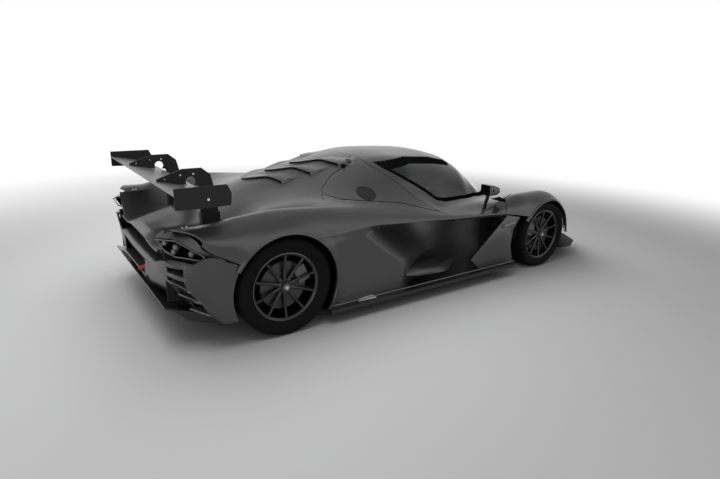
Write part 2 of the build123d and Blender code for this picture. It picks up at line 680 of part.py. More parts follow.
def make_seats():
    """Two shell seats, each a dished seat and back with side bolsters."""
    foot = floor_top + tub_wall
    pieces = []
    for y in (seat_y, -seat_y):
        middle = side_plate(side_points(seat_shares), y - seat_half + bolster_thick, y + seat_half - bolster_thick)
        for side in (1, -1):
            edge = sorted((y + side * seat_half, y + side * (seat_half - bolster_thick)))
            middle += side_plate(side_points(bolster_shares), *edge)
        base = box(lx(-0.09), lx(0.045), y - seat_half * 0.7, y + seat_half * 0.7, foot, foot + tub_wall * 2)
        pieces.append(middle + base - box(-width, width, -width, width, 0, foot))
    return pieces


def make_steering():
    """Steering wheel on its column, and the bore that the dashboard needs for it."""
    place = Pos(lx(wheel_centre_shares[0]), wheel_y, wheel_centre_shares[1] * height) * Rot(0, 90 + column_tilt, 0)
    rim = Torus(wheel_radius, grip_radius)
    spokes = Box(wheel_radius * 0.5, wheel_radius * 2 - grip_radius, grip_radius)
    column = Cylinder(column_radius, column_long, align=(Align.CENTER, Align.CENTER, Align.MIN))
    bore = Cylinder(column_radius + run_gap, column_long * 1.2, align=(Align.CENTER, Align.CENTER, Align.MIN))
    return place * (rim + spokes + column), place * bore


# Spine louvres, swept back to a point on the car's middle
louvre_shares = [-0.379, -0.2846, -0.1877]
louvre_plan_shares = [(0, 0.20), (-0.0315, 0.10), (-0.08, 0), (-0.0315, -0.10), (0, -0.20)]
louvre_open_share = 0.011


def make_louvre(near):
    """The opening of one louvre, a swept slot seen from above."""
    ahead = louvre_open_share * wheelbase
    rear = [(lx(near + a), b * body_half) for a, b in louvre_plan_shares]
    front = [(x + ahead, y) for x, y in rear[::-1]]
    return floor_plate(rear + front, block_top, height)


block_half = 0.41 * tub_half
block_top = 0.52 * height
shaft_radius = 20
mirror_shares = [(0.2095, 0.686), (0.2115, 0.768), (0.235, 0.762), (0.254, 0.735), (0.254, 0.70), (0.235, 0.69)]
mirror_y0 = 0.82 * body_half
mirror_y1 = 0.934 * body_half
stalk_radius = 16

os.makedirs("parts", exist_ok=True)

# Corners
rear_size = (rear_tyre_radius, rear_tyre_width, rear_outer_face, rear_axle)
front_size = (front_tyre_radius, front_tyre_width, front_outer_face, front_axle)
for end, size in (("rear", rear_size), ("front", front_size)):
    radius, breadth, outer_face, axle = size
    pieces = {
        "tyre": make_tyre(*size),
        "rim": make_rim(*size),
        "brake_disc": make_disc(radius, outer_face, axle),
    }
    for name, piece in pieces.items():
        for side_name, solid in zip(("left", "right"), both(piece)):
            write(name + "_" + end + "_" + side_name, solid)
write("rear_uprights", both(make_upright(rear_tyre_radius, rear_outer_face, rear_axle, 1)))
for side_name, solid in zip(("left", "right"), both(make_upright(front_tyre_radius, front_outer_face, front_axle, -1))):
    write("upright_front_" + side_name, solid)
write("rear_arms", make_arms(rear_tyre_radius, rear_outer_face, rear_axle, block_half))
write("front_arms", make_arms(front_tyre_radius, front_outer_face, front_axle, tub_box_half))

# Structure
tub = make_tub()
write("floor", make_floor())
write("front_splitter", make_splitter())
corner = make_corners()
diffuser = make_diffuser() - corner - mirror(corner, about=Plane.XZ)
write("diffuser", diffuser.solids().sort_by(SortBy.VOLUME)[-1])
write("tub", tub)

# Skins
quarter = side_strip(BELT, RIM, tail_x, quarter_x) - rear_well - canopy_hole
quarter = quarter + side_strip(RIM, VALLEY, tail_x, deck_x)
sail = side_strip(RIM, CANT, deck_x, quarter_x) - canopy_hole
pod = side_strip(SILL, BELT, plank_rear, lx(0.302)) - rear_well - front_well
pod -= box(-length, length, -width, width, 0, floor_top)
fender = side_strip(BELT, VALLEY, lx(0.25), nose_x) - front_well - canopy_hole
lamp_hole = floor_plate([(lx(a), b * body_half) for a, b in lamp_plan_shares], 0, height)
headlamp = fender & lamp_hole
fender = fender - lamp_hole
write("rear_quarters", both(quarter))
write("sail_panels", both(sail))
write("side_pods", both(pod))
write("front_fenders", both(fender))
write("headlamps", both(headlamp))
blade = side_plate(side_points(blade_shares), blade_y, blade_y + skin)
marker = [(lx(a), blade_y + skin + marker_radius * 0.6, b * height) for a, b in marker_shares]
write("side_blades", both(blade + bar(*marker, marker_radius)))
cover = top_strip(CANT, deck_x, lx(-0.12)) - canopy_hole
for near in louvre_shares:
    cover -= make_louvre(near)
write("engine_cover", cover)

# Canopy, its hinge and the nose with the hinge slots
hinge, arms, slots = make_hinge()
nose = top_strip(VALLEY, lx(0.45), nose_x) - canopy_hole
shell, visor = make_canopy()
for arm, slot in zip(arms, slots):
    nose -= slot
    shell += arm - visor
write("canopy_hinge", hinge)
write("nose", nose)
write("canopy_shell", shell)
write("visor", visor)

# Tail and wing
wing, endplates, strut = make_wing()
deck = top_strip(VALLEY, deck_tail_x, deck_x)
cover_strip = top_strip(RIM, tail_x, lx(-0.55))
strut = (strut - deck - cover_strip).solids().sort_by(SortBy.VOLUME)[-1]
write("wing_plane", wing)
write("wing_endplates", endplates)
write("wing_struts", both(strut))
write("tail_deck", deck)
write("rear_corners", both(corner))
fascia = make_fascia() - deck - corner - mirror(corner, about=Plane.XZ)
write("rear_fascia", fascia)
write("tail_lamps", both(make_tail_lamps() - quarter - fascia - corner))
strap_z = (fascia_low_share + 0.03) * height
write("tow_strap", box(fascia_x0 - strap_long, fascia_x0, strap_y - strap_width / 2, strap_y + strap_width / 2,
                       strap_z, strap_z + strap_thick))

# Engine and inside
block_rear = lx(-0.57)
block = box(block_rear, tub_rear, -block_half, block_half, floor_top, block_top)
write("engine_block", block)
pipe_z = height * pipe_share
pipe = bar((block_rear, 0, pipe_z), (fascia_x1 + skin, 0, pipe_z), pipe_radius)
pipe -= bar((block_rear - skin, 0, pipe_z), (fascia_x0, 0, pipe_z), pipe_radius - pipe_wall)
write("exhaust", pipe)
shaft_end = upright_back(rear_outer_face) - upright_thick - seat_gap
write("drive_shafts", both(bar((rear_axle, block_half, rear_tyre_radius), (rear_axle, shaft_end, rear_tyre_radius),
                               shaft_radius)))
write("seats", make_seats())
steering, bore = make_steering()
write("steering_wheel", steering)
inside_y = tub_half - tub_wall
write("dashboard", side_plate(side_points(dash_shares), -inside_y, inside_y) - bore)

glass_strip = top_strip(BELT, lx(-0.16), lx(0.5))
head = side_plate(side_points(mirror_shares), mirror_y0, mirror_y1)
stalk = bar((lx(0.225), mirror_y0 + stalk_radius * 2, 0.70 * height),
            (lx(0.232), mirror_y0 + stalk_radius, 0.56 * height), stalk_radius)
mirror_piece = (head + stalk - glass_strip).solids().sort_by(SortBy.VOLUME)[-1]
write("mirrors", both(mirror_piece))
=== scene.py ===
from math import cos, pi, radians, sin

import bmesh
import bpy
import numpy as np
from mathutils import Matrix, Vector


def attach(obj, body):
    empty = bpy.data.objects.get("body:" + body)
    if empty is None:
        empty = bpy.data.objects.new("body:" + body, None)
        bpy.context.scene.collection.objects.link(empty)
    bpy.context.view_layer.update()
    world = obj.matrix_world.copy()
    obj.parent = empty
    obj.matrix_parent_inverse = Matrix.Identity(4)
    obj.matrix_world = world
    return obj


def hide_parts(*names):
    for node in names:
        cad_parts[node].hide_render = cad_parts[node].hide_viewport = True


# Looks of a lightweight closed sports car, in metres, +X forward, +Y left, +Z up.
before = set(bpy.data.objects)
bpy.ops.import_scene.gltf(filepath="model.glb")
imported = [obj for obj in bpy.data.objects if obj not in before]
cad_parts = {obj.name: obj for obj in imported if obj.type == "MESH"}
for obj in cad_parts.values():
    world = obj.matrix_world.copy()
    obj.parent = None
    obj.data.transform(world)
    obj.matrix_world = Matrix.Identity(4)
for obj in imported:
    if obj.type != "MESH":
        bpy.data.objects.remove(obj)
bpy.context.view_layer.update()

# Sizes, the same as the solids'
LENGTH = 4.626
WIDTH = 2.04
HEIGHT = 1.155
WHEELBASE = 2.85
REAR_OVERHANG = 0.795
EDGE_LIP = 0.02
BODY_HALF = WIDTH / 2 - EDGE_LIP
AXLE_MID = -LENGTH / 2 + REAR_OVERHANG + WHEELBASE / 2
REAR_AXLE = AXLE_MID - WHEELBASE / 2
FRONT_AXLE = AXLE_MID + WHEELBASE / 2
REAR_TYRE = 0.351
FRONT_TYRE = 0.328
SKIN = 0.012
FLOOR_TOP = 0.12
REAR_WELL = REAR_TYRE + 0.036
FRONT_WELL = FRONT_TYRE + 0.028
MOVING_GAP = 0.006
REAR = (REAR_AXLE, REAR_WELL, REAR_TYRE)
FRONT = (FRONT_AXLE, FRONT_WELL, FRONT_TYRE)


def lx(share):
    return AXLE_MID + share * WHEELBASE


# Camera, as it stands in the photo
CAMERA_AT = (AXLE_MID - 2.8745, -3.8629, 1.6474)
CAMERA_YAW = radians(54.68)
CAMERA_PITCH = radians(16.34)
CAMERA_ROLL = radians(1.598)
CAMERA_LENS = 25.08
CAMERA_SENSOR = 36.0


def make_camera():
    data = bpy.data.cameras.new("camera")
    data.lens = CAMERA_LENS
    data.sensor_width = CAMERA_SENSOR
    camera = bpy.data.objects.new("camera", data)
    bpy.context.collection.objects.link(camera)
    ahead = Vector((cos(CAMERA_PITCH) * cos(CAMERA_YAW), cos(CAMERA_PITCH) * sin(CAMERA_YAW), -sin(CAMERA_PITCH)))
    level = ahead.cross(Vector((0, 0, 1))).normalized()
    rise = level.cross(ahead)
    right = level * cos(CAMERA_ROLL) + rise * sin(CAMERA_ROLL)
    up = rise * cos(CAMERA_ROLL) - level * sin(CAMERA_ROLL)
    matrix = Matrix((right, up, -ahead)).transposed().to_4x4()
    matrix.translation = Vector(CAMERA_AT)
    camera.matrix_world = matrix
    bpy.context.scene.camera = camera


make_camera()


# The body's outside, as feature lines through sections across the car, as in the solids.
# Each row, in thousandths: place along the car as a share of the wheelbase, then for each line
# in order its share of the half width and its share of the height.
# Lines: sill, waist, belt, shoulder, crest, rim, valley, flank, cant, roof, top
SILL, WAIST, BELT, SHOULDER, CREST, RIM, VALLEY, FLANK, CANT, ROOF, TOP = range(11)
SECTIONS = np.array([
    (-772, 930, 260, 930, 420, 940, 672, 955, 700, 870, 708, 690, 680,
     580, 530, 340, 530, 220, 530, 110, 530, 0, 530),
    (-736.5, 940, 240, 940, 410, 950, 640, 960, 685, 870, 706, 690, 680,
     590, 548, 340, 548, 230, 578, 120, 582, 0, 584),
    (-684, 960, 200, 960, 400, 970, 597, 965, 660, 870, 704, 700, 685,
     600, 562, 420, 560, 310, 595, 160, 600, 0, 602),
    (-604, 980, 160, 980, 360, 990, 460, 995, 660, 880, 745, 730, 705,
     600, 575, 480, 590, 370, 635, 190, 657, 0, 665),
    (-500, 985, 104, 990, 360, 1000, 600, 995, 680, 870, 762, 760, 742,
     620, 715, 470, 722, 340, 745, 150, 780, 0, 792),
    (-379, 985, 104, 990, 364, 1000, 589, 985, 655, 880, 742, 800, 748,
     660, 752, 480, 775, 320, 805, 140, 860, 0, 876),
    (-260, 965, 104, 960, 312, 970, 602, 945, 645, 870, 702, 810, 726,
     680, 778, 500, 838, 340, 880, 150, 925, 0, 937),
    (-154, 930, 104, 920, 330, 950, 586, 930, 620, 870, 662, 820, 690,
     690, 775, 560, 865, 420, 925, 200, 969, 0, 981),
    (-35, 860, 104, 800, 330, 950, 569, 930, 593, 880, 623, 820, 655,
     710, 736, 610, 860, 470, 950, 240, 989, 0, 1000),
    (88, 740, 104, 680, 312, 940, 548, 920, 561, 880, 576, 800, 602,
     690, 636, 600, 805, 450, 926, 250, 976, 0, 993),
    (218, 680, 104, 635, 312, 940, 535, 910, 546, 860, 558, 760, 593,
     640, 623, 550, 753, 420, 857, 240, 913, 0, 935),
    (302, 680, 104, 635, 312, 940, 519, 925, 560, 860, 598, 740, 600,
     550, 606, 440, 701, 350, 762, 220, 810, 0, 835),
    (393, 680, 104, 660, 312, 985, 485, 965, 580, 860, 648, 710, 620,
     510, 545, 380, 589, 290, 636, 170, 680, 0, 697),
    (500, 700, 104, 700, 312, 990, 450, 970, 600, 860, 652, 690, 610,
     480, 490, 360, 494, 260, 502, 140, 511, 0, 515),
    (614, 900, 130, 950, 250, 965, 346, 940, 485, 840, 565, 670, 530,
     480, 400, 360, 407, 260, 420, 140, 433, 0, 437),
    (719, 780, 120, 800, 170, 830, 210, 810, 280, 740, 335, 620, 330,
     460, 290, 360, 305, 270, 320, 140, 335, 0, 340),
    (800, 620, 100, 640, 125, 660, 155, 645, 190, 610, 220, 530, 222,
     430, 208, 330, 225, 250, 242, 120, 255, 0, 260),
]) / 1000
SHARES_ALONG = SECTIONS[:, 0]
LINE_POINTS = SECTIONS[:, 1:].reshape(len(SECTIONS), TOP + 1, 2) * (BODY_HALF, HEIGHT)

# How sharp lines are, as (place along, sharpness) shares: 0 is smooth, 1 is a hard crease.
# A line that isn't here is smooth from end to end.
SHARP_SHARES = {
    SILL: [(0, 1)],
    WAIST: [(0, 0.2)],
    BELT: [(-0.62, 1), (-0.55, 0), (-0.33, 0), (-0.22, 1)],
    CREST: [(-1, 0.2), (-0.45, 0)],
    RIM: [(-0.4, 0.8), (-0.3, 0)],
    VALLEY: [(-0.62, 1), (-0.55, 0)],
    CANT: [(-1, 0), (-0.52, 0.5), (-0.28, 0.5), (-0.18, 0)],
}
SMOOTH = [(0, 0)]


def slopes(s, values):
    """Slopes of a curve through rows of values that never overshoots between them."""
    step = np.diff(s)[:, None, None]
    rise = np.diff(values, axis=0) / step
    slope = np.empty_like(values)
    slope[0] = rise[0]
    slope[-1] = rise[-1]
    a, b = rise[:-1], rise[1:]
    same = a * b > 0
    safe = np.where(same, a + b, 1)
    slope[1:-1] = np.where(same, 2 * a * b / safe, 0)
    return slope


LINE_SLOPES = slopes(SHARES_ALONG, LINE_POINTS)


def hermite(t, start, start_slope, end, end_slope, length=1):
    """A cubic between two values with given slopes."""
    a = 2 * t ** 3 - 3 * t ** 2 + 1
    b = t ** 3 - 2 * t ** 2 + t
    c = -2 * t ** 3 + 3 * t ** 2
    d = t ** 3 - t ** 2
    return a * start + b * length * start_slope + c * end + d * length * end_slope


def lines_at(share):
    """The eleven line points (across, up) at one place along the car."""
    share = min(max(share, SHARES_ALONG[0]), SHARES_ALONG[-1])
    i = int(np.clip(np.searchsorted(SHARES_ALONG, share) - 1, 0, len(SHARES_ALONG) - 2))
    h = SHARES_ALONG[i + 1] - SHARES_ALONG[i]
    t = (share - SHARES_ALONG[i]) / h
    return hermite(t, LINE_POINTS[i], LINE_SLOPES[i], LINE_POINTS[i + 1], LINE_SLOPES[i + 1], h)


def sharpness(line, share):
    places, values = zip(*SHARP_SHARES.get(line, SMOOTH))
    return float(np.interp(share, places, values))


FLARE = 0.018
FLARE_REACH = 0.075
FLARE_FROM = 0.86
FLARE_SPAN = 0.12


def flare(x, y, z):
    """How far the side stands out round a wheel arch."""
    out = 0
    for axle, radius, level in (REAR, FRONT):
        d = max(np.hypot(x - axle, z - level) - radius, 0) / FLARE_REACH
        if d < 1:
            out = max(out, FLARE * (1 - d) ** 2 * (1 + 2 * d))
    side = np.clip((y - FLARE_FROM * BODY_HALF) / (FLARE_SPAN * BODY_HALF), 0, 1)
    return out * side


def section(x, low, high, steps):
    """A smooth half section from one line to another at x, as points (x, y, z)."""
    share = (x - AXLE_MID) / WHEELBASE
    p = lines_at(share)
    full = np.vstack([p, [-p[-2][0], p[-2][1]]])
    points = []
    for i in range(low, high):
        ends = []
        chord = full[i + 1] - full[i]
        size = np.hypot(*chord)
        for k in (i, i + 1):
            if k == 0:
                smooth = chord / size
            else:
                before = full[k] - full[k - 1]
                after = full[k + 1] - full[k]
                lb, la = np.hypot(*before), np.hypot(*after)
                smooth = (before / lb * la + after / la * lb) / (la + lb)
            hard = sharpness(k, share)
            ends.append((smooth * (1 - hard) + chord / size * hard) * size)
        for j in range(steps):
            points.append(hermite(j / steps, full[i], ends[0], full[i + 1], ends[1]))
    points.append(full[high])
    return [(x, y + flare(x, y, z), z) for y, z in points]


def along(x0, x1, step=0.02):
    count = max(int(round((x1 - x0) / step)), 2)
    return list(np.linspace(x0, x1, count + 1))


def make_object(name, vertices, faces):
    mesh = bpy.data.meshes.new(name)
    mesh.from_pydata([tuple(v) for v in vertices], [], faces)
    mesh.update()
    piece = bpy.data.objects.new(name, mesh)
    bpy.context.collection.objects.link(piece)
    return piece


def solid(name, vertices, faces):
    """An object with every face turned outwards."""
    piece = make_object(name, vertices, faces)
    bm = bmesh.new()
    bm.from_mesh(piece.data)
    bmesh.ops.recalc_face_normals(bm, faces=bm.faces)
    bm.to_mesh(piece.data)
    bm.free()
    return piece


def wall_faces(rows, columns, turned=False):
    """Faces of two grids of points, one after the other, closed round their edges."""
    base = rows * columns
    faces = []
    for i in range(rows - 1):
        for j in range(columns - 1):
            a = i * columns + j
            b, c, d = a + 1, a + columns + 1, a + columns
            near, far = (a, b, c, d), (a, d, c, b)
            if turned:
                near, far = far, near
            faces.append(near)
            faces.append(tuple(base + k for k in far))
    edge = list(range(columns)) + [i * columns + columns - 1 for i in range(1, rows)]
    edge += [(rows - 1) * columns + j for j in range(columns - 2, -1, -1)]
    edge += [i * columns for i in range(rows - 2, 0, -1)]
    for a, b in zip(edge, edge[1:] + edge[:1]):
        faces.append((a, b, base + b, base + a))
    return faces


# A height well inside the body, to tell outwards from inwards
CORE_LEVEL = 0.3


def shell(name, grid, wall):
    """A closed shell from a grid of outside points, with its wall on the inside."""
    g = np.array(grid)
    rows, columns = g.shape[:2]
    du = np.gradient(g, axis=0)
    dv = np.gradient(g, axis=1)
    n = np.cross(du, dv)
    n /= np.linalg.norm(n, axis=2, keepdims=True) + 1e-12
    middle = g[rows // 2, columns // 2]
    if np.dot(n[rows // 2, columns // 2], Vector((0, middle[1], middle[2] - CORE_LEVEL)).normalized()) < 0:
        n = -n
    inner = g - n * wall
    vertices = np.concatenate([g.reshape(-1, 3), inner.reshape(-1, 3)])
    return solid(name, vertices, wall_faces(rows, columns, turned=True))


def whole_grid(x0, x1, step=0.02):
    """Sections from one belt line over the top to the other, one after another along the car."""
    rows = []
    for place in along(x0, x1, step):
        half = section(place, BELT, TOP, 5)
        rows.append(half + [(x, -y, z) for x, y, z in half[-2::-1]])
    return rows


def bands(rings, size, closed=False, around=True):
    """Faces between rings of points, one after another."""
    faces = []
    for k in range(rings if closed else rings - 1):
        n = (k + 1) % rings
        for j in range(size if around else size - 1):
            i = (j + 1) % size
            faces.append((k * size + j, k * size + i, n * size + i, n * size + j))
    return faces


def ends(rings, size):
    """The faces of the first ring and of the last."""
    return [tuple(range(size)), tuple(range((rings - 1) * size, rings * size))[::-1]]


def prism(name, low, high):
    """A block between two outlines in space, point for point."""
    return solid(name, low + high, ends(2, len(low)) + bands(2, len(low)))


def side_prism(outline, y0=-WIDTH, y1=WIDTH, name="side_prism"):
    """A block with an outline in length and height."""
    return prism(name, [(x, y0, z) for x, z in outline], [(x, y1, z) for x, z in outline])


def plan_prism(outline, z0=0, z1=2 * HEIGHT):
    """A block with an outline in length and width."""
    return prism("plan_prism", [(x, y, z0) for x, y in outline], [(x, y, z1) for x, y in outline])


def apply(piece):
    """Bake the modifier of a piece into its mesh."""
    depsgraph = bpy.context.evaluated_depsgraph_get()
    mesh = bpy.data.meshes.new_from_object(piece.evaluated_get(depsgraph))
    piece.modifiers.clear()
    old = piece.data
    piece.data = mesh
    bpy.data.meshes.remove(old)


def combine(piece, other, operation="DIFFERENCE"):
    """Apply one boolean of another object, which is used up, to a piece."""
    modifier = piece.modifiers.new("cut", "BOOLEAN")
    modifier.operation = operation
    modifier.solver = "EXACT"
    modifier.object = other
    apply(piece)
    bpy.data.objects.remove(other)


def copy_of(piece, name):
    other = piece.copy()
    other.data = piece.data.copy()
    other.name = name
    bpy.context.collection.objects.link(other)
    return other


def joined(name, pieces):
    """One object from several, which are used up."""
    bm = bmesh.new()
    for piece in pieces:
        bm.from_mesh(piece.data)
        bpy.data.objects.remove(piece)
    mesh = bpy.data.meshes.new(name)
    bm.to_mesh(mesh)
    bm.free()
    piece = bpy.data.objects.new(name, mesh)
    bpy.context.collection.objects.link(piece)
    return piece


def mirrored(piece, name="mirrored"):
    """A copy on the other side of the car."""
    other = copy_of(piece, name)
    for vertex in other.data.vertices:
        vertex.co.y = -vertex.co.y
    other.data.flip_normals()
    return other


def with_mirror(piece, name=None):
    return joined(name or piece.name, [mirrored(piece), piece])


def bevel(piece, width, segments=2, angle=30):
    """Round the edges of a piece and keep the result."""
    modifier = piece.modifiers.new("round", "BEVEL")
    modifier.width = width
    modifier.segments = segments
    modifier.limit_method = "ANGLE"
    modifier.angle_limit = radians(angle)
    apply(piece)


def block(x0, x1, y0, y1, z0, z1, name="block"):
    return side_prism([(x0, z0), (x1, z0), (x1, z1), (x0, z1)], y0, y1, name)


def ring_of(centre, side, up, radius, segments):
    """Points round a centre, in the plane of two directions."""
    turns = [2 * pi * k / segments for k in range(segments)]
    return [centre + side * (radius * cos(t)) + up * (radius * sin(t)) for t in turns]


def cylinder(start, end, radius, segments=32, end_radius=None, name="cylinder"):
    """A round bar or cone between two points."""
    a, b = Vector(start), Vector(end)
    ahead = (b - a).normalized()
    side = ahead.orthogonal().normalized()
    up = ahead.cross(side)
    tip = radius if end_radius is None else end_radius
    vertices = ring_of(a, side, up, radius, segments) + ring_of(b, side, up, tip, segments)
    first, last = ends(2, segments)
    return make_object(name, vertices, bands(2, segments) + [first[::-1], last[::-1]])


def revolved(name, profile, x, z, segments=96, closed=True):
    """A ring about a cross-car axis at (x, z), from (radius, across) points."""
    vertices = []
    for k in range(segments):
        t = 2 * pi * k / segments
        vertices += [(x + r * cos(t), y, z + r * sin(t)) for r, y in profile]
    return solid(name, vertices, bands(segments, len(profile), closed=True, around=closed))


def curved(points, steps=4, closed=False):
    """A smooth run through given points, as a Catmull-Rom curve."""
    p = [np.array(q, dtype=float) for q in points]
    if closed:
        p = [p[-1]] + p + [p[0], p[1]]
    else:
        p = [2 * p[0] - p[1]] + p + [2 * p[-1] - p[-2]]
    out = []
    for i in range(1, len(p) - 2):
        a, b, c, d = p[i - 1:i + 3]
        for j in range(steps):
            t = j / steps
            out.append(0.5 * (2 * b + (c - a) * t + (2 * a - 5 * b + 4 * c - d) * t ** 2
                              + (3 * b - a - 3 * c + d) * t ** 3))
    if not closed:
        out.append(p[-2])
    return [tuple(q) for q in out]


def inset(outline, depth):
    """A closed outline moved in by a depth."""
    p = np.array(outline, dtype=float)
    area = 0.5 * np.sum(p[:, 0] * np.roll(p[:, 1], -1) - np.roll(p[:, 0], -1) * p[:, 1])
    turn = 1 if area > 0 else -1
    out = []
    for i in range(len(p)):
        a = p[i] - p[i - 1]
        b = p[(i + 1) % len(p)] - p[i]
        na = np.array([-a[1], a[0]]) / (np.hypot(*a) + 1e-9) * turn
        nb = np.array([-b[1], b[0]]) / (np.hypot(*b) + 1e-9) * turn
        n = na + nb
        n = n / max(n.dot(n) / 2, 0.5)
        out.append(tuple(p[i] + n * depth))
    return out


# Materials: the name of each one's kind
COAT_ROUGH = 0.08
GRAIN_DEPTH = 0.0005


def feed(tree, node, inputs):
    """Set the inputs of a node, or link them to another node's output."""
    for key, value in inputs.items():
        if isinstance(value, bpy.types.NodeSocket):
            tree.links.new(value, node.inputs[key])
        else:
            node.inputs[key].default_value = value


def new_node(tree, kind, inputs=None, mode=None):
    node = tree.nodes.new("ShaderNode" + kind)
    if mode == "SMOOTHSTEP":
        node.interpolation_type = mode
    elif mode:
        node.operation = mode
    feed(tree, node, inputs or {})
    return node


def finish(name, color, rough=0.5, metal=0.0, coat=0.0, bump=0.0, grain=400.0, vary=0.0, alpha=1.0,
           sheen=0.0, shine=0.5):
    """A surface with a fine procedural grain."""
    material = bpy.data.materials.new(name)
    material.use_nodes = True
    tree = material.node_tree
    shader = tree.nodes["Principled BSDF"]
    feed(tree, shader, {
        "Base Color": (*color, 1), "Roughness": rough, "Metallic": metal, "Coat Weight": coat,
        "Coat Roughness": COAT_ROUGH, "Specular IOR Level": shine, "Alpha": alpha, "Sheen Weight": sheen})
    place = new_node(tree, "TexCoord").outputs["Object"]
    if bump:
        noise = new_node(tree, "TexNoise", {"Scale": grain, "Detail": 3.0, "Vector": place})
        relief = new_node(tree, "Bump", {"Strength": bump, "Distance": GRAIN_DEPTH, "Height": noise.outputs["Fac"]})
        feed(tree, shader, {"Normal": relief.outputs["Normal"]})
    if vary:
        slow = new_node(tree, "TexNoise", {"Scale": 3.0, "Detail": 4.0, "Vector": place})
        spread = new_node(tree, "MapRange", {
            "To Min": rough - vary, "To Max": rough + vary, "Value": slow.outputs["Fac"]})
        feed(tree, shader, {"Roughness": spread.outputs["Result"]})
    return material


WRAP = finish("satin_wrap", (0.026, 0.0262, 0.0265), 0.28, bump=0.08, grain=900, vary=0.02, shine=0.95)
CARBON = finish("black_carbon", (0.01, 0.01, 0.011), 0.32, coat=0.3, bump=0.08, grain=700)
MATTE = finish("matte_black", (0.008, 0.008, 0.009), 0.6, bump=0.12, grain=500, shine=0.35)
# Near black: the wheel liners' own colour, and painted shade on the louvre, corner, tail, fender and canopy gap
# pieces
DARK = finish("black_and_painted_shade", (0.004, 0.004, 0.005), 0.85)
RUBBER = finish("tyre_rubber", (0.006, 0.006, 0.0065), 0.8, bump=0.15, grain=300, vary=0.05, shine=0.12)
RIM_PAINT = finish("rim_paint", (0.004, 0.004, 0.0045), 0.22, coat=0.3)
RIM_LIP = finish("rim_lip", (0.1, 0.1, 0.105), 0.14, metal=1.0)
SILVER = finish("silver", (0.62, 0.63, 0.65), 0.22, metal=1.0)
IRON = finish("disc_iron", (0.07, 0.07, 0.072), 0.38, metal=0.9, bump=0.1, grain=200)
CAST = finish("cast_metal", (0.13, 0.13, 0.135), 0.5, metal=0.7, bump=0.1, grain=200)
STEEL = finish("arm_steel", (0.3, 0.3, 0.31), 0.35, metal=0.9)
PIPE = finish("pipe_steel", (0.4, 0.38, 0.36), 0.25, metal=1.0)
GLASS = finish("window_glass", (0.004, 0.005, 0.006), 0.03, coat=1.0, alpha=0.72)
BORDER = finish("glass_border", (0.003, 0.003, 0.003), 0.5, shine=0.0)
LENS = finish("lamp_lens", (0.2, 0.2, 0.21), 0.08, coat=1.0, metal=0.4)
RED = finish("strap_red", (0.45, 0.015, 0.012), 0.75, bump=0.3, grain=600)
SEAT = finish("seat_fabric", (0.015, 0.015, 0.016), 0.9, bump=0.3, grain=600, sheen=0.2)
GRIP = finish("grip_rubber", (0.012, 0.012, 0.012), 0.7)
# Light grey with a metal sheen: the real trim of the lamps and the filler ring, and a painted highlight on the plank
# edges and the corner slats
EDGE = finish("bright_edge", (0.16, 0.16, 0.165), 0.28, metal=0.5, coat=0.4)
# Light grey that paints the light falling on the winglets' upward faces
WINGLET_PAINTED_LIGHT = finish("winglet_painted_light", (0.34, 0.34, 0.34), 0.5)
WING = finish("wing_satin", (0.045, 0.045, 0.046), 0.36, bump=0.06, grain=700, shine=0.9)


def dress(piece, material, body="chassis", nodes=(), angle=32):
    """Give a new piece its finish, its body and the nodes that it stands for."""
    for vertex in piece.data.vertices:
        vertex.co.y = min(max(vertex.co.y, -WIDTH / 2), WIDTH / 2)
    piece.data.shade_smooth()
    piece.data.set_sharp_from_angle(angle=radians(angle))
    piece.data.materials.clear()
    piece.data.materials.append(material)
    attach(piece, body)
    if nodes:
        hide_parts(*nodes)
    return piece


def dress_pair(name, pieces, material, **options):
    """Join pieces, add their mirror image and dress the pair."""
    dress(with_mirror(joined(name, pieces), name), material, **options)


for material, node_names in (
        (CARBON, ("floor", "diffuser")),
        (MATTE, ("front_splitter", "tub", "dashboard", "wing_endplates", "wing_struts")),
        (WING, ("wing_plane",)),
        (CAST, ("engine_block", "rear_uprights", "upright_front_left", "upright_front_right")),
        (STEEL, ("canopy_hinge", "drive_shafts", "rear_arms", "front_arms")),
        (PIPE, ("exhaust",)), (SEAT, ("seats",)), (GRIP, ("steering_wheel",))):
    for node_name in node_names:
        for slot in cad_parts[node_name].material_slots:
            slot.material = material

# Seams of the skins, seen from the side, as shares of the wheelbase and the height
REAR_SEAM_SHARES = [(-0.155, 1.08), (-0.155, 0.972), (-0.142, 0.962), (-0.128, 0.898), (-0.08, 0.802),
                    (-0.037, 0.698), (0.02, 0.612), (0.071, 0.546)]
BELT_SEAM_SHARES = [(0.14, 0.5415), (0.218, 0.535), (0.302, 0.519)]
FRONT_SEAM_SHARES = [(0.302, 1.2), (0.302, 0.93), (0.49, 0.3), (0.49, -0.3), (0.302, -0.93), (0.302, -1.2)]
WINDOW_SHARES = [(-0.118, 0.939), (0.0, 0.965), (0.12, 0.944), (0.2, 0.905), (0.2, 1.1), (0.6, 1.1),
                 (0.6, 0.558), (0.474, 0.558), (0.393, 0.575), (0.294, 0.61), (0.196, 0.625), (0.106, 0.63),
                 (0.068, 0.649), (0.03, 0.71), (-0.052, 0.821), (-0.105, 0.902)]
SAIL_SHARES = [(0.1, 0.583), (0.0228, 0.603), (-0.1116, 0.691), (-0.223, 0.728), (-0.3, 0.752), (-0.326, 0.772),
               (-0.321, 0.792), (-0.27, 0.85), (-0.217, 0.901), (-0.18, 0.935), (-0.155, 0.965), (-0.12, 0.985),
               (0.1, 0.985)]
HAUNCH_TAIL = [(AXLE_MID + x, z) for x, z in (
    (-1.6, 0.5), (-1.739, 0.575), (-1.843, 0.628), (-1.935, 0.678), (-1.993, 0.735), (-2.078, 0.785),
    (-2.198, 0.84), (-2.5, 0.93), (-2.5, 0.0), (-1.6, 0.0))]
TAIL_X = -LENGTH / 2
DOOR_X = lx(0.302)
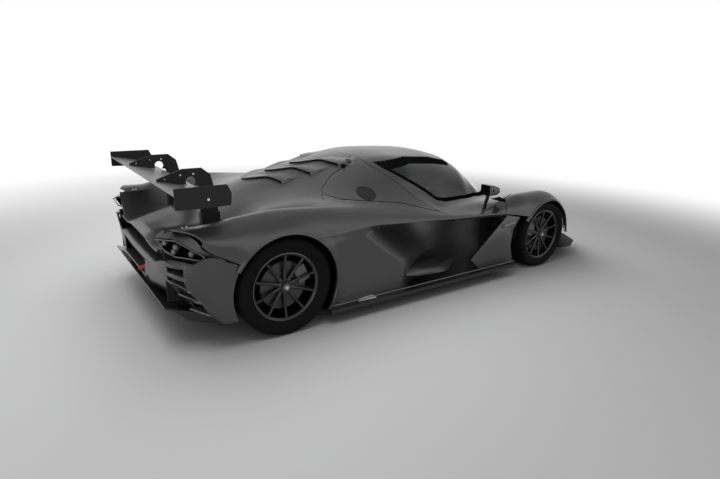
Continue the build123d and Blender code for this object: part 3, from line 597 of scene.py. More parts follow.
NOSE_X = lx(0.8)
FRONT_SEAM_X = lx(0.49)
SEAM = 0.005
FINE_STEP = 0.024


def side_points(shares, dx=0.0):
    return [(lx(a) + dx, b * HEIGHT) for a, b in shares]


def well(axle, radius, level):
    """The space of one wheel on both sides."""
    pieces = []
    for side in (1, -1):
        pieces.append(cylinder((axle, side * 0.55, level), (axle, side * 1.5, level), radius, 96))
    return joined("well", pieces)


def canopy_cut(gap, to_belt=False):
    """The space of the canopy as one block, each seam moved out by a gap."""
    rear = side_points(REAR_SEAM_SHARES, -gap)
    front = FRONT_SEAM_X + gap
    if to_belt:
        low = [(x, z - gap) for x, z in side_points(BELT_SEAM_SHARES)]
        low = low + [(front, low[-1][1])]
    else:
        low = [(rear[-1][0], 0.45 * HEIGHT), (front, 0.45 * HEIGHT)]
    outline = rear + low + [(low[-1][0], rear[0][1])]
    piece = side_prism(outline)
    plan = [(lx(a) + gap, b * BODY_HALF) for a, b in FRONT_SEAM_SHARES]
    back = lx(-0.3)
    plan = [(back, plan[0][1])] + plan + [(back, plan[-1][1])]
    combine(piece, plan_prism(plan, 0.1, 1.6), "INTERSECT")
    return piece


CREASE_LINE = [(0.16, -0.395), (0.3, -0.385), (0.377, -0.43), (0.485, -0.579), (0.584, -0.707), (0.7, -0.84)]
CHANNEL_DEEP = 0.31
CHANNEL_LONG = 0.48
CHANNEL_EDGE = 0.055
DOOR_PLANE = 0.972
PLANE_FROM = -1.0


def flank_row(x):
    """One upright run of the flank: flat and upright to the crease, then sunk into the channel."""
    run = section(x, SILL, BELT, 18)
    ahead = x - AXLE_MID
    top = run[-1]
    out = []
    for px, y, z in run:
        crease = float(np.interp(z, *zip(*CREASE_LINE)))
        past = max(ahead - crease, 0.0)
        near = min(max((top[2] - z) / CHANNEL_EDGE, 0.0), 1.0)
        deep = CHANNEL_DEEP * float(np.tanh((past / CHANNEL_LONG) ** 1.3)) * near * near * (3 - 2 * near)
        plane = DOOR_PLANE - 0.035 * min(max((ahead - PLANE_FROM) / 1.6, 0.0), 1.0)
        face = y
        if ahead >= PLANE_FROM:
            face = plane + (y - plane) * max(0.0, 1 - (ahead - PLANE_FROM) / 0.3)
        face = min(face, y + 0.25) if ahead < -0.7 else face
        level = max(face, 0.0) * near + top[1] * (1 - near)
        out.append((px, level - deep, z))
    return out


def make_flanks():
    """Side flanks under the belt line, with the channel that leads air to the rear."""
    rows = [flank_row(x) for x in along(REAR_AXLE, DOOR_X)]
    piece = with_mirror(shell("side_flanks", rows, SKIN))
    combine(piece, well(*REAR))
    combine(piece, block(-3, 3, -2, 2, -1, FLOOR_TOP + 0.001))
    dress(piece, WRAP, nodes=("side_pods",))


def make_clam():
    """Rear clamshell with its haunches and flanks, the sail panels in it, and the tail deck."""
    piece = shell("rear_clamshell", whole_grid(TAIL_X, DOOR_X, FINE_STEP), SKIN)
    combine(piece, canopy_cut(MOVING_GAP / 2, to_belt=True))
    combine(piece, well(*REAR))
    # Behind the wheels the flank ends at the haunch's lower edge
    for side in (1, -1):
        combine(piece, side_prism(HAUNCH_TAIL, *sorted((side * 0.7, side * 1.3))))
    tail = [(AXLE_MID + x, y) for x, y in (
        (-2.135, 0.56), (-2.14, 0.67), (-2.125, 0.76), (-2.074, 0.86), (-1.99, 0.95), (-1.86, 1.02), (-1.86, 1.3),
        (-2.6, 1.3), (-2.6, 0.56))]
    for side in (1, -1):
        combine(piece, plan_prism([(x, side * y) for x, y in tail]))
    combine(piece, block(-2.6, lx(-0.757), -0.56, 0.56, 0, 1))
    sail = copy_of(piece, "sail_panels_skin")
    combine(piece, side_prism(side_points(SAIL_SHARES)))
    combine(sail, side_prism(inset(side_points(SAIL_SHARES), SEAM)), "INTERSECT")
    dress(piece, WRAP, nodes=("rear_quarters", "engine_cover", "tail_deck"))
    dress(sail, WRAP, nodes=("sail_panels",))


HINGE_ARM_Y = 0.12
HINGE_SLOT_HALF = 0.015 + MOVING_GAP


def make_front():
    """Front clamshell with its fenders and the lamp glasses in them."""
    piece = shell("front_clamshell", whole_grid(lx(0.25), NOSE_X, FINE_STEP), SKIN)
    combine(piece, canopy_cut(MOVING_GAP / 2))
    combine(piece, well(*FRONT))
    for side in (1, -1):
        y0, y1 = sorted(side * (HINGE_ARM_Y + half) for half in (-HINGE_SLOT_HALF, HINGE_SLOT_HALF))
        combine(piece, block(FRONT_SEAM_X - 0.08, lx(0.53) + 0.026, y0, y1, 0.4, 1.2))
    lamps = copy_of(piece, "headlamp_glass")
    outline = [(lx(a), b * BODY_HALF) for a, b in ((0.675, 0.62), (0.725, 0.6), (0.742, 0.72), (0.7, 0.8))]
    cut = joined("lamp_cut", [plan_prism(outline), plan_prism([(x, -y) for x, y in outline])])
    combine(lamps, copy_of(cut, "lamp_keep"), "INTERSECT")
    combine(piece, cut)
    dress(piece, WRAP, nodes=("front_fenders", "nose"))
    dress(lamps, GLASS, nodes=("headlamps",))


CANOPY_SPAN = (lx(-0.17), lx(0.5))


def make_canopy():
    """Canopy shell and the glass of its wrap-round visor."""
    window = side_points(WINDOW_SHARES)
    piece = shell("canopy_skin", whole_grid(*CANOPY_SPAN), SKIN)
    combine(piece, canopy_cut(-MOVING_GAP / 2), "INTERSECT")
    visor = copy_of(piece, "visor_glass")
    combine(piece, side_prism(window))
    combine(visor, side_prism(inset(window, 0.001)), "INTERSECT")
    dress(piece, WRAP, "canopy", nodes=("canopy_shell",))
    dress(visor, GLASS, "canopy", nodes=("visor",))


RIM_RADIUS = 0.246
RIM_SEGMENTS = 128
SPOKES = 10
# Radius, half breadth, face ahead of the rim's face and depth of a spoke, from the hub outwards
SPOKE_STATIONS = [(0.03, 0.015, -0.006, 0.026), (0.07, 0.0115, -0.01, 0.022), (0.13, 0.0095, -0.006, 0.02),
                  (0.19, 0.0085, 0.004, 0.018), (0.232, 0.011, 0.01, 0.02)]


def spoke_at(turn, axle, radius, face):
    """One spoke of a rim, as a run of six-sided sections from the hub to the barrel."""
    vertices = []
    for r, half, rise, deep in SPOKE_STATIONS:
        y = face + rise
        for across, level in ((-half, y - deep), (-half, y - 0.004), (-half * 0.55, y), (half * 0.55, y),
                              (half, y - 0.004), (half, y - deep)):
            px = r * cos(turn) - across * sin(turn)
            pz = r * sin(turn) + across * cos(turn)
            vertices.append((axle + px, level, radius + pz))
    count = len(SPOKE_STATIONS)
    return solid("spoke", vertices, bands(count, 6) + ends(count, 6))


def make_wheel(end, side_name, axle, radius, breadth, outer):
    """One wheel: slick tyre, barrel, bright lip, ten spokes, hub and centre nut, disc and bell."""
    title = "_" + end + "_" + side_name
    inner = outer - breadth
    face = outer - 0.034
    back = outer - 0.034 - 0.04
    seat = RIM_RADIUS - 0.006

    def ring(name, profile, segments, closed=True):
        return revolved(name + title, profile, axle, radius, segments, closed)

    wall = [(seat, 0.03), (radius * 0.86, 0.002), (radius * 0.93, 0), (radius * 0.975, 0.008),
            (radius * 0.995, 0.024), (radius, 0.06)]
    lining = [(radius * 0.9, 0.03), (seat, 0.05)]
    tread = [(r, inner + d) for r, d in wall] + [(r, outer - d) for r, d in wall[::-1]]
    tread += [(r, outer - d) for r, d in lining[::-1]] + [(r, inner + d) for r, d in lining]
    barrel = [(0.004, outer - 0.028), (-0.01, outer - 0.034), (-0.016, outer - 0.07), (-0.03, outer - 0.16),
              (-0.03, inner + 0.09), (-0.012, inner + 0.04), (0.004, inner + 0.028), (-0.002, inner + 0.024),
              (-0.018, inner + 0.04), (-0.037, inner + 0.09), (-0.037, outer - 0.16), (-0.023, outer - 0.07),
              (-0.018, outer - 0.03), (-0.006, outer - 0.022)]
    lip = [(0.002, 0.027), (0.001, 0.0225), (-0.004, 0.0215), (-0.008, 0.024), (-0.008, 0.028)]
    hub = [(0.0, -0.04), (0.046, -0.04), (0.046, -0.008), (0.04, -0.001), (0.0, -0.001)]
    nut = [(0.0, 0.0), (0.03, 0.0), (0.03, 0.012), (0.026, 0.018), (0.015, 0.02), (0.013, 0.012), (0.0, 0.012)]
    cap = [(0.0, 0.012), (0.014, 0.012), (0.014, 0.022), (0.011, 0.025), (0.0, 0.025)]
    disc = [(0.034, -0.03), (0.172, -0.031), (0.172, -0.019), (0.166, -0.018), (0.166, -0.014), (0.172, -0.013),
            (0.172, -0.001), (0.105, 0.0), (0.066, 0.0), (0.06, 0.012), (0.034, 0.012)]
    hub, nut, cap = [[(r, face + d) for r, d in profile] for profile in (hub, nut, cap)]
    tyre = ring("tyre_slick", tread, RIM_SEGMENTS)
    parts = [ring("barrel", [(RIM_RADIUS + d, y) for d, y in barrel], RIM_SEGMENTS)]
    parts += [spoke_at(2 * pi * (k + 0.5) / SPOKES, axle, radius, face) for k in range(SPOKES)]
    parts.append(ring("hub", hub, 48, closed=False))
    for piece, material, node in (
            (tyre, RUBBER, "tyre" + title),
            (joined("rim_spoked" + title, parts), RIM_PAINT, "rim" + title),
            (ring("rim_edge", [(RIM_RADIUS + d, outer - y) for d, y in lip], RIM_SEGMENTS), RIM_LIP, None),
            (ring("wheel_nut", nut, 12, closed=False), CAST, None),
            (ring("nut_centre", cap, 24, closed=False), SILVER, None),
            (ring("disc_plate", [(r, back + d) for r, d in disc], 64), IRON, "brake_disc" + title)):
        if side_name == "right":
            for vertex in piece.data.vertices:
                vertex.co.y = -vertex.co.y
            piece.data.flip_normals()
        dress(piece, material, "wheel" + title, (node,) if node else (), angle=40)


LINER_LIFT = 0.001
LINER_WALL = 0.004


def make_liners():
    """Dark inner arches over each wheel."""
    for title, axle, radius, level, inner_y in (
            ("rear_wheel_liners", *REAR, 0.56), ("front_wheel_liners", *FRONT, 0.74)):
        rows = []
        for t in (radians(5 * k) for k in range(37)):
            rows.append([(axle + (radius + LINER_LIFT) * cos(t), y, level + (radius + LINER_LIFT) * sin(t))
                         for y in (inner_y, 0.8, 0.9)])
        near = [v for row in rows for v in row]
        far = [(x + (x - axle) / radius * LINER_WALL, y, z + (z - level) / radius * LINER_WALL) for x, y, z in near]
        dress_pair(title, [solid(title, near + far, wall_faces(len(rows), 3))], DARK)


make_clam()
make_flanks()
make_front()
make_canopy()
make_liners()
for side_name in ("left", "right"):
    make_wheel("rear", side_name, REAR_AXLE, REAR_TYRE, breadth=0.315, outer=0.985)
    make_wheel("front", side_name, FRONT_AXLE, FRONT_TYRE, breadth=0.275, outer=0.97)


def at(x, y, z):
    """A place measured from the middle of the axles."""
    return (AXLE_MID + x, y, z)


def skin_z(x, y):
    """The height of the skin's top over a place seen from above."""
    run = section(x, CREST, TOP, 8)
    return float(np.interp(abs(y), [p[1] for p in run][::-1], [p[2] for p in run][::-1]))


def skin_y(x, z, low, high):
    """How far out the skin is at a place seen from the side, between two feature lines."""
    run = section(x, low, high, 8)
    return float(np.interp(z, [p[2] for p in run], [p[1] for p in run]))


def tube(points, radius, segments=10, closed=False):
    """A round bead along a run of points."""
    p = [Vector(q) for q in points]
    count = len(p)
    vertices = []
    for i, centre in enumerate(p):
        back = p[i - 1] if i > 0 or closed else p[i]
        front = p[(i + 1) % count] if i < count - 1 or closed else p[i]
        ahead = (front - back).normalized()
        up = Vector((0, 0, 1)) if abs(ahead.z) < 0.9 else Vector((1, 0, 0))
        side = ahead.cross(up).normalized()
        vertices += ring_of(centre, side, side.cross(ahead), radius, segments)
    faces = bands(count, segments, closed)
    if not closed:
        faces += [face[::-1] for face in ends(count, segments)]
    return solid("tube", vertices, faces)


def plate(points, thick, toward):
    """A thin plate on a nearly flat outline in space, its thickness away from a direction."""
    shift = Vector(toward).normalized() * -thick
    near = [Vector(p) for p in points]
    return prism("plate", near, [p + shift for p in near])


def sheet(rows, thick, toward, name="sheet"):
    """A thin skin through rows of points, its thickness away from a direction."""
    shift = Vector(toward).normalized() * -thick
    near = [Vector(p) for row in rows for p in row]
    return solid(name, near + [p + shift for p in near], wall_faces(len(rows), len(rows[0])))


# Hoods of the three louvres on the spine: each trailing edge from its outer end to the middle
LOUVRE_EDGES = [
    [(-1.11, 0.286), (-1.118, 0.278), (-1.158, 0.2), (-1.195, 0.145), (-1.25, 0.108), (-1.3, 0.065),
     (-1.33, 0.025), (-1.335, 0)],
    [(-0.863, 0.314), (-0.871, 0.306), (-0.913, 0.214), (-0.955, 0.14), (-1.03, 0.098), (-1.09, 0.06),
     (-1.125, 0.02), (-1.13, 0)],
    [(-0.612, 0.341), (-0.62, 0.333), (-0.66, 0.239), (-0.7, 0.15), (-0.79, 0.103), (-0.86, 0.065),
     (-0.895, 0.02), (-0.9, 0)],
]
LOUVRE_DEEP = 0.2
LOUVRE_RISE = 0.024
LOUVRE_STEPS = 8


def make_louvres():
    """Raised hoods along the spine, each over a black sheet on the skin that is painted shade of the opening under
    it.
    """
    hoods, shade_sheets = [], []
    for edge in LOUVRE_EDGES:
        half = curved(edge, 4)
        rows, dark = [], []
        for x, y in half + [(x, -y) for x, y in half[-2::-1]]:
            out = min(abs(y) / 0.3, 1.0)
            rise = LOUVRE_RISE * (0.45 + 0.55 * out) * min(1.0, (abs(edge[0][1]) - abs(y)) / 0.008)
            row = []
            for k in range(LOUVRE_STEPS + 1):
                t = k / LOUVRE_STEPS
                px = AXLE_MID + x + LOUVRE_DEEP * (1 - t) * (0.6 + 0.4 * out)
                row.append((px, y, skin_z(px, y) + 0.0005 + rise * t * t * (3 - 2 * t)))
            rows.append(row)
            # A black sheet on the skin under each hood: painted shade of the opening there
            dark.append([(px, y, skin_z(px, y) + 0.0012) for px in (AXLE_MID + x + dx for dx in (0.1, 0.05, 0.004))])
        hoods.append(sheet(rows, 0.003, (0, 0, 1)))
        shade_sheets.append(sheet(dark, 0.001, (0, 0, 1)))
    dress(joined("spine_louvre_hoods", hoods), WRAP, angle=50)
    dress(joined("spine_louvre_painted_shade", shade_sheets), DARK)


LIP_EDGE = WIDTH / 2 - 0.0048
LIP_LOW = 0.13


def make_arch_lips():
    """Thin flared lips round the wheel arches."""
    pieces = []
    for axle, radius, level, start, stop, low in ((*REAR, -22, 152, SILL), (*FRONT, 8, 150, BELT)):
        rows = []
        for k in range(61):
            t = radians(start + (stop - start) * k / 60)
            row = []
            for r, lift in ((radius - 0.002, -0.022), (radius - 0.002, 0.004), (radius + 0.004, 0.008),
                            (radius + 0.012, 0.007), (radius + 0.02, 0.001), (radius + 0.024, -0.006)):
                x, z = axle + r * cos(t), level + r * sin(t)
                row.append((x, min(skin_y(x, max(z, LIP_LOW), low, CREST) + lift, LIP_EDGE), z))
            rows.append(row)
        pieces.append(with_mirror(sheet(rows, 0.004, (0, 1, 0))))
    dress(joined("arch_lips", pieces), WRAP, angle=60)


# Tail corner: stations from the wheel arch round to the middle, each with its points downwards,
# in millimetres from the middle of the axles
CORNER_STATIONS = np.array([
    [(-1700, 988, 550), (-1700, 988, 480), (-1700, 988, 410), (-1700, 988, 340), (-1700, 988, 270),
     (-1700, 985, 195)],
    [(-1830, 985, 607), (-1830, 985, 530), (-1830, 984, 450), (-1830, 982, 360), (-1830, 980, 270),
     (-1830, 976, 192)],
    [(-1945, 966, 650), (-1950, 966, 560), (-1950, 966, 460), (-1940, 966, 360), (-1920, 966, 260),
     (-1880, 966, 195)],
    [(-2068, 932, 605), (-2076, 932, 523), (-2052, 932, 439), (-1992, 932, 352), (-1945, 932, 257),
     (-1895, 932, 200)],
    [(-2128, 860, 604), (-2122, 860, 525), (-2106, 860, 455), (-2046, 860, 363), (-1986, 860, 265),
     (-1925, 860, 200)],
    [(-2168, 750, 605), (-2150, 750, 532), (-2145, 750, 471), (-2088, 750, 375), (-2025, 750, 283),
     (-1955, 750, 210)],
    [(-2180, 640, 575), (-2172, 640, 525), (-2165, 640, 468), (-2135, 640, 380), (-2080, 640, 300),
     (-2020, 640, 240)],
    [(-2182, 500, 514), (-2182, 500, 490), (-2182, 500, 455), (-2170, 500, 392), (-2140, 500, 340),
     (-2120, 500, 312)],
    [(-2192, 340, 512), (-2192, 345, 490), (-2195, 340, 455), (-2195, 320, 390), (-2180, 320, 345),
     (-2160, 320, 312)],
]) / 1000
SLAT_ENDS = [((-2.168, 0.75, 0.603), (-2.074, 0.925, 0.6)), ((-2.152, 0.755, 0.532), (-2.078, 0.93, 0.523)),
             ((-2.14, 0.74, 0.471), (-2.054, 0.93, 0.439)), ((-2.085, 0.76, 0.375), (-1.993, 0.93, 0.352)),
             ((-2.03, 0.8, 0.273), (-1.945, 0.935, 0.257))]


def make_corners():
    """Tail corners that wrap from the wheel arch to the middle, with five louvre slats."""
    rows = [curved([at(*point) for point in level], 6) for level in zip(*CORNER_STATIONS)]
    columns = [curved(column, 5) for column in zip(*rows)]
    piece = sheet(columns, 0.01, (-0.7, 0.7, 0))
    combine(piece, well(*REAR))
    slats = []
    for k, (inner, outer) in enumerate(SLAT_ENDS):
        if k > 0:
            (yi, zi), (yo, zo) = inner[1:], outer[1:]
            above_in, above_out = SLAT_ENDS[k - 1]
            rise = 0.82 * (above_out[2] - zo)
            start = 0.6 * (above_in[2] - zi)
            wedge = [(yi, zi), (yo - 0.012, zo), (yo - 0.016, zo + rise), (yi + 0.004, zi + start)]
            combine(piece, plate([at(-2.3, y, z) for y, z in wedge], 0.42, (-1, 0, 0)))
        rim = []
        for x, y, z in (inner, outer):
            rim.append([at(x - 0.01, y, z + 0.001), at(x - 0.007, y, z + 0.004), at(x + 0.055, y, z + 0.004)])
        slats.append(sheet(rim, 0.007, (0, 0, 1)))
    dress(with_mirror(piece, "rear_corner_panels"), WRAP, nodes=("rear_corners",), angle=30)
    # The slats are real parts; their lighter bright_edge grey is a painted highlight along them
    dress_pair("corner_slats", slats, EDGE)
    # Black plate of painted shade behind the slots, where the inside lies in shade
    back = [at(-2.02, 0.62, 0.62), at(-1.96, 0.93, 0.6), at(-1.86, 0.95, 0.24), at(-1.94, 0.62, 0.24)]
    dress_pair("corner_painted_shade", [plate(back, 0.004, (-1, 0, 0))], DARK)


def make_fascia():
    """Cross bar and lower lip of the tail round the open centre, with black blocks of painted shade inside it, and
    the tow strap.
    """
    bar_rows = []
    for y in np.linspace(-0.505, 0.505, 17):
        back = -2.192 + 0.01 * (abs(y) / 0.5) ** 2
        bar_rows.append([at(back + dx, y, z) for dx, z in (
            (0.012, 0.48), (0, 0.512), (0.006, 0.518), (0.09, 0.526))])
    lip_rows = []
    for y in np.linspace(-0.36, 0.36, 13):
        lip_rows.append([at(x, y, z) for x, z in (
            (-2.16, 0.312), (-2.18, 0.345), (-2.198, 0.386), (-2.196, 0.391), (-2.12, 0.393))])
    pieces = [sheet(bar_rows, 0.006, (-1, 0, 0.6)), sheet(lip_rows, 0.006, (-1, 0, 0.4))]
    dress(joined("rear_fascia_bars", pieces), WRAP, nodes=("rear_fascia",), angle=40)
    # Black blocks inside the open centre and at its sides: painted shade
    dark = joined("tail_painted_shade", [block(AXLE_MID - 2.07, AXLE_MID - 1.9, -0.7, 0.7, 0.31, 0.615)] + [
        block(AXLE_MID - 2.15, AXLE_MID - 1.9, *sorted((side * 0.702, side * 0.715)), 0.31, 0.64)
        for side in (1, -1)])
    dress(dark, DARK)
    strap = curved([at(-2.172, -0.375, 0.482), at(-2.184, -0.315, 0.452), at(-2.198, -0.25, 0.423),
                    at(-2.211, -0.195, 0.394), at(-2.205, -0.175, 0.382)], 5)
    rows = [[(x, y, z - 0.01), (x, y, z + 0.01)] for x, y, z in strap]
    dress(sheet(rows, 0.003, (-1, 0, 0), "tow_loop"), RED, nodes=("tow_strap",), angle=60)


LAMP_RIM = [(-2.19, 0.7, 0.738), (-2.098, 0.8, 0.74), (-1.958, 0.925, 0.645), (-1.985, 0.905, 0.622),
            (-2.1, 0.79, 0.634), (-2.15, 0.745, 0.668)]


def make_lamps():
    """Tail lamp housings with a bright rim and four round lenses each."""
    rim = curved([at(*p) for p in LAMP_RIM], 1, closed=True)
    dress_pair("tail_lamp_rims", [tube(rim, 0.005, closed=True)], EDGE, angle=60)
    inner = [at(x + 0.016, y - 0.012, z) for x, y, z in LAMP_RIM]
    dress_pair("tail_lamp_boxes", [plate(inner, 0.05, (-0.8, 0.6, 0))], BORDER, nodes=("tail_lamps",))
    lenses, cups = [], []
    for y, z, x, r in ((0.748, 0.722, -2.15, 0.016), (0.8, 0.7, -2.098, 0.019), (0.785, 0.668, -2.108, 0.017),
                       (0.868, 0.662, -2.025, 0.019)):
        cups.append(cylinder(at(x + 0.03, y - 0.02, z), at(x - 0.004, y + 0.004, z), r, 28))
        lenses.append(cylinder(at(x + 0.01, y, z), at(x - 0.007, y + 0.006, z), r * 0.72, 28, r * 0.5))
    dress_pair("tail_lamp_cups", cups, CAST, angle=40)
    dress_pair("tail_lamp_lenses", lenses, LENS, angle=40)


BLADE = [(0.825, 0.6), (0.383, 0.244), (0.516, 0.122), (0.965, 0.122), (0.91, 0.303), (0.922, 0.449),
         (1.003, 0.564)]


def make_blades():
    """Side blades behind the front wheels with their marker lamps."""
    blade = side_prism([(AXLE_MID + x, z) for x, z in BLADE], 0.968, 0.982)
    bevel(blade, 0.004)
    dress_pair("side_blade_panels", [blade], WRAP, nodes=("side_blades",))
    can = cylinder(at(0.771, 0.988, 0.507), at(0.915, 0.988, 0.522), 0.017, 28)
    dress_pair("marker_lamps", [can], EDGE, angle=40)
    glass = cylinder(at(0.764, 0.988, 0.5065), at(0.774, 0.988, 0.5075), 0.014, 28)
    dress_pair("marker_glasses", [glass], LENS, angle=40)


def make_vanes():
    """Bulged vane low in the side channel and the small winglet on the floor's edge."""
    upper = curved([(-0.368, 0.93, 0.229), (-0.25, 0.9, 0.262), (-0.106, 0.85, 0.272), (0.1, 0.8, 0.262),
                    (0.353, 0.745, 0.231)], 5)
    lower = curved([(-0.368, 0.93, 0.222), (-0.2, 0.945, 0.195), (0.037, 0.93, 0.175), (0.2, 0.89, 0.163),
                    (0.353, 0.8, 0.17)], 5)
    rows = []
    for (xa, ya, za), (xb, yb, zb) in zip(upper, lower):
        row = []
        for k in range(7):
            t = k / 6
            swell = 0.03 * sin(pi * t) * min(1.0, (xa + 0.368) / 0.2)
            row.append(at(xa + (xb - xa) * t, ya + (yb - ya) * t + swell, za + (zb - za) * t))
        rows.append(row)
    dress_pair("channel_vanes", [sheet(rows, 0.004, (0, 1, 0))], WRAP, angle=60)
    tri = [at(-0.835, 0.99, 0.124), at(-0.665, 0.998, 0.124), at(-0.7, 0.945, 0.15), at(-0.79, 0.94, 0.15)]
    # The winglets' light grey is painted light on their upward faces
    dress_pair("floor_winglets", [plate(tri, 0.004, (0, 0.3, 1))], WINGLET_PAINTED_LIGHT)


def disc_on_skin(x, z, radius, low, high, lift, segments=36):
    """A flush round cap that follows the skin, round when seen square to it."""
    x += AXLE_MID
    step = 0.01
    y = skin_y(x, z, low, high)
    along_x = Vector((2 * step, skin_y(x + step, z, low, high) - skin_y(x - step, z, low, high), 0)).normalized()
    up = Vector((0, skin_y(x, z + step, low, high) - skin_y(x, z - step, low, high), 2 * step)).normalized()
    rows = []
    for k in range(segments + 1):
        t = 2 * pi * k / segments
        row = []
        for share in (0.0, 0.35, 0.7, 1.0):
            p = Vector((x, y, z)) + (along_x * cos(t) + up * sin(t)) * (radius * share)
            row.append((p.x, skin_y(p.x, p.z, low, high) + lift, p.z + lift * 0.6))
        rows.append(row)
    return sheet(rows, 0.002, (0, 1, 0))


def line_on_skin(points, low, high, radius):
    """A thin dark line over the skin through places seen from the side."""
    run = []
    for (xa, za), (xb, zb) in zip(points, points[1:]):
        for t in np.linspace(0, 1, 9)[:-1]:
            run.append((xa + (xb - xa) * t, za + (zb - za) * t))
    run.append(points[-1])
    return tube([at(x, skin_y(AXLE_MID + x, z, low, high), z) for x, z in run], radius, 6)


def make_sail_details():
    """Round caps on the sail panels, the filler ring on the right one and the kill switch."""
    dress_pair("sail_caps", [disc_on_skin(-0.588, 0.887, 0.085, RIM, CANT, 0.0025)], MATTE, angle=60)
    x, y = -0.515, 0.335
    tilt = Vector((-0.12, 0.45, 0.88)).normalized()
    base = Vector(at(x, y, skin_z(AXLE_MID + x, y)))
    ring = cylinder(base - tilt * 0.01, base + tilt * 0.008, 0.044, 40)
    combine(ring, cylinder(base - tilt * 0.02, base + tilt * 0.02, 0.034, 40))
    plug = cylinder(base - tilt * 0.01, base + tilt * 0.003, 0.0335, 40)
    for piece, name, material in ((ring, "filler_ring", EDGE), (plug, "filler_plug", BORDER)):
        dress(mirrored(piece, name), material, angle=40)
        bpy.data.objects.remove(piece)
    x, y = -0.585, -0.36
    foot = Vector(at(x, y, skin_z(AXLE_MID + x, -y) - 0.004))
    up = Vector((-0.1, -0.35, 0.93)).normalized()
    dress(cylinder(foot, foot + up * 0.016, 0.02, 24, name="kill_switch_base"), BORDER, angle=40)
    key = block(foot.x - 0.014, foot.x + 0.014, foot.y - 0.004, foot.y + 0.004, foot.z + 0.008, foot.z + 0.024,
                "kill_switch_key")
    dress(key, BORDER)


BORDER_WALL = 0.003
BORDER_BREADTH = 0.028


def lifted_canopy(times):
    """The canopy's outside, lifted a little off its skin so many times."""
    rows = whole_grid(*CANOPY_SPAN)
    for _ in range(times):
        rows = [[(x, y * 1.0006, z + 0.0007) for x, y, z in row] for row in rows]
    return rows


def make_border():
    """Black border all round the visor and the band above it."""
    window = side_points(WINDOW_SHARES)
    piece = shell("visor_border", lifted_canopy(1), BORDER_WALL)
    combine(piece, canopy_cut(-MOVING_GAP / 2 - 0.002), "INTERSECT")
    combine(piece, side_prism(inset(window, 0.001)), "INTERSECT")
    combine(piece, side_prism(inset(window, BORDER_BREADTH)))
    dress(piece, BORDER, "canopy")
    band = shell("visor_band", lifted_canopy(2), BORDER_WALL)
    outline = [(-0.11, 0.935), (0.0, 0.963), (0.12, 0.942), (0.2, 0.903), (0.2, 0.868), (0.12, 0.9), (0.0, 0.922),
               (-0.085, 0.893)]
    combine(band, side_prism(side_points(outline)), "INTERSECT")
    dress(band, BORDER, "canopy")


def make_plank_edges():
    """Painted highlight along each side plank's outer edge: a thin tube in the lighter bright_edge grey."""
    run = [at(x, 1.015, 0.1515) for x in np.linspace(-1.085, 0.94, 12)]
    dress_pair("plank_edge_highlights", [tube(run, 0.004, 8)], EDGE, angle=60)


def make_brows():
    """Panel between the haunch's tail and each tail lamp."""
    low = [(-2.188, 0.672, 0.748), (-2.15, 0.745, 0.75), (-2.1, 0.806, 0.748), (-2.02, 0.88, 0.697),
           (-1.955, 0.934, 0.655), (-1.86, 0.985, 0.61)]
    high = [(-2.136, 0.662, 0.781), (-2.095, 0.74, 0.782), (-2.045, 0.812, 0.78), (-1.992, 0.885, 0.742),
            (-1.965, 0.936, 0.691), (-1.855, 0.99, 0.628)]
    rows = []
    for a, b in zip(curved([at(*p) for p in low], 3), curved([at(*p) for p in high], 3)):
        rows.append([tuple(a[k] + (b[k] - a[k]) * t for k in range(3)) for t in (0.0, 0.25, 0.5, 0.75, 1.0)])
    dress_pair("lamp_brows", [sheet(rows, 0.004, (-0.6, 0.6, 0.5))], WRAP)


def make_mirrors():
    """Door mirrors: a rounded housing on a black stalk, with a black rear panel."""
    shape = [(0.6, 0.79), (0.604, 0.886), (0.66, 0.88), (0.735, 0.855), (0.745, 0.812), (0.7, 0.79)]
    house = side_prism([(AXLE_MID + x, z) for x, z in shape], 0.822, 0.934)
    bevel(house, 0.012, 3)
    dress_pair("mirror_housings", [house], WRAP, nodes=("mirrors",), angle=50)
    back = [at(0.5985, 0.826, 0.794), at(0.5985, 0.93, 0.79), at(0.5995, 0.93, 0.88), at(0.5995, 0.826, 0.884)]
    dress_pair("mirror_panes", [plate(back, 0.004, (-1, 0, 0))], BORDER)
    foot_z = skin_z(AXLE_MID + 0.66, 0.83) - 0.01
    stalk = [at(0.62, 0.9, 0.8), at(0.625, 0.89, 0.765), at(0.64, 0.865, 0.725), at(0.66, 0.835, foot_z)]
    dress_pair("mirror_stalks", [tube(curved(stalk, 5), 0.015, 14)], MATTE, angle=60)
    # A black disc on each housing: painted shade of a round hole
    spot = cylinder(at(0.645, 0.93, 0.838), at(0.645, 0.9352, 0.838), 0.009, 24)
    dress_pair("mirror_spots", [spot], BORDER, angle=40)


def make_bolts():
    """Bright bolts on the wing's endplates and struts and on the tail."""
    pieces = [cylinder(at(-1.934, 0.979, 1.018), at(-1.934, 0.9835, 1.018), 0.009, 20, 0.008)]
    for x, z in ((-1.935, 1.082), (-1.848, 1.085), (-2.04, 1.06)):
        for side in (1, -1):
            y = 0.42 + side * 0.006
            pieces.append(cylinder(at(x, y - side * 0.001, z), at(x, y + side * 0.004, z), 0.007, 16, 0.006))
    dress_pair("wing_bolts", pieces, SILVER, angle=40)
    pieces = []
    for x in (-2.025, -2.000):
        top = skin_z(AXLE_MID + x, 0.72)
        pieces.append(cylinder(at(x, 0.72, top - 0.004), at(x, 0.72, top + 0.005), 0.008, 16, 0.007))
    dress_pair("tail_bolts", pieces, SILVER, angle=40)


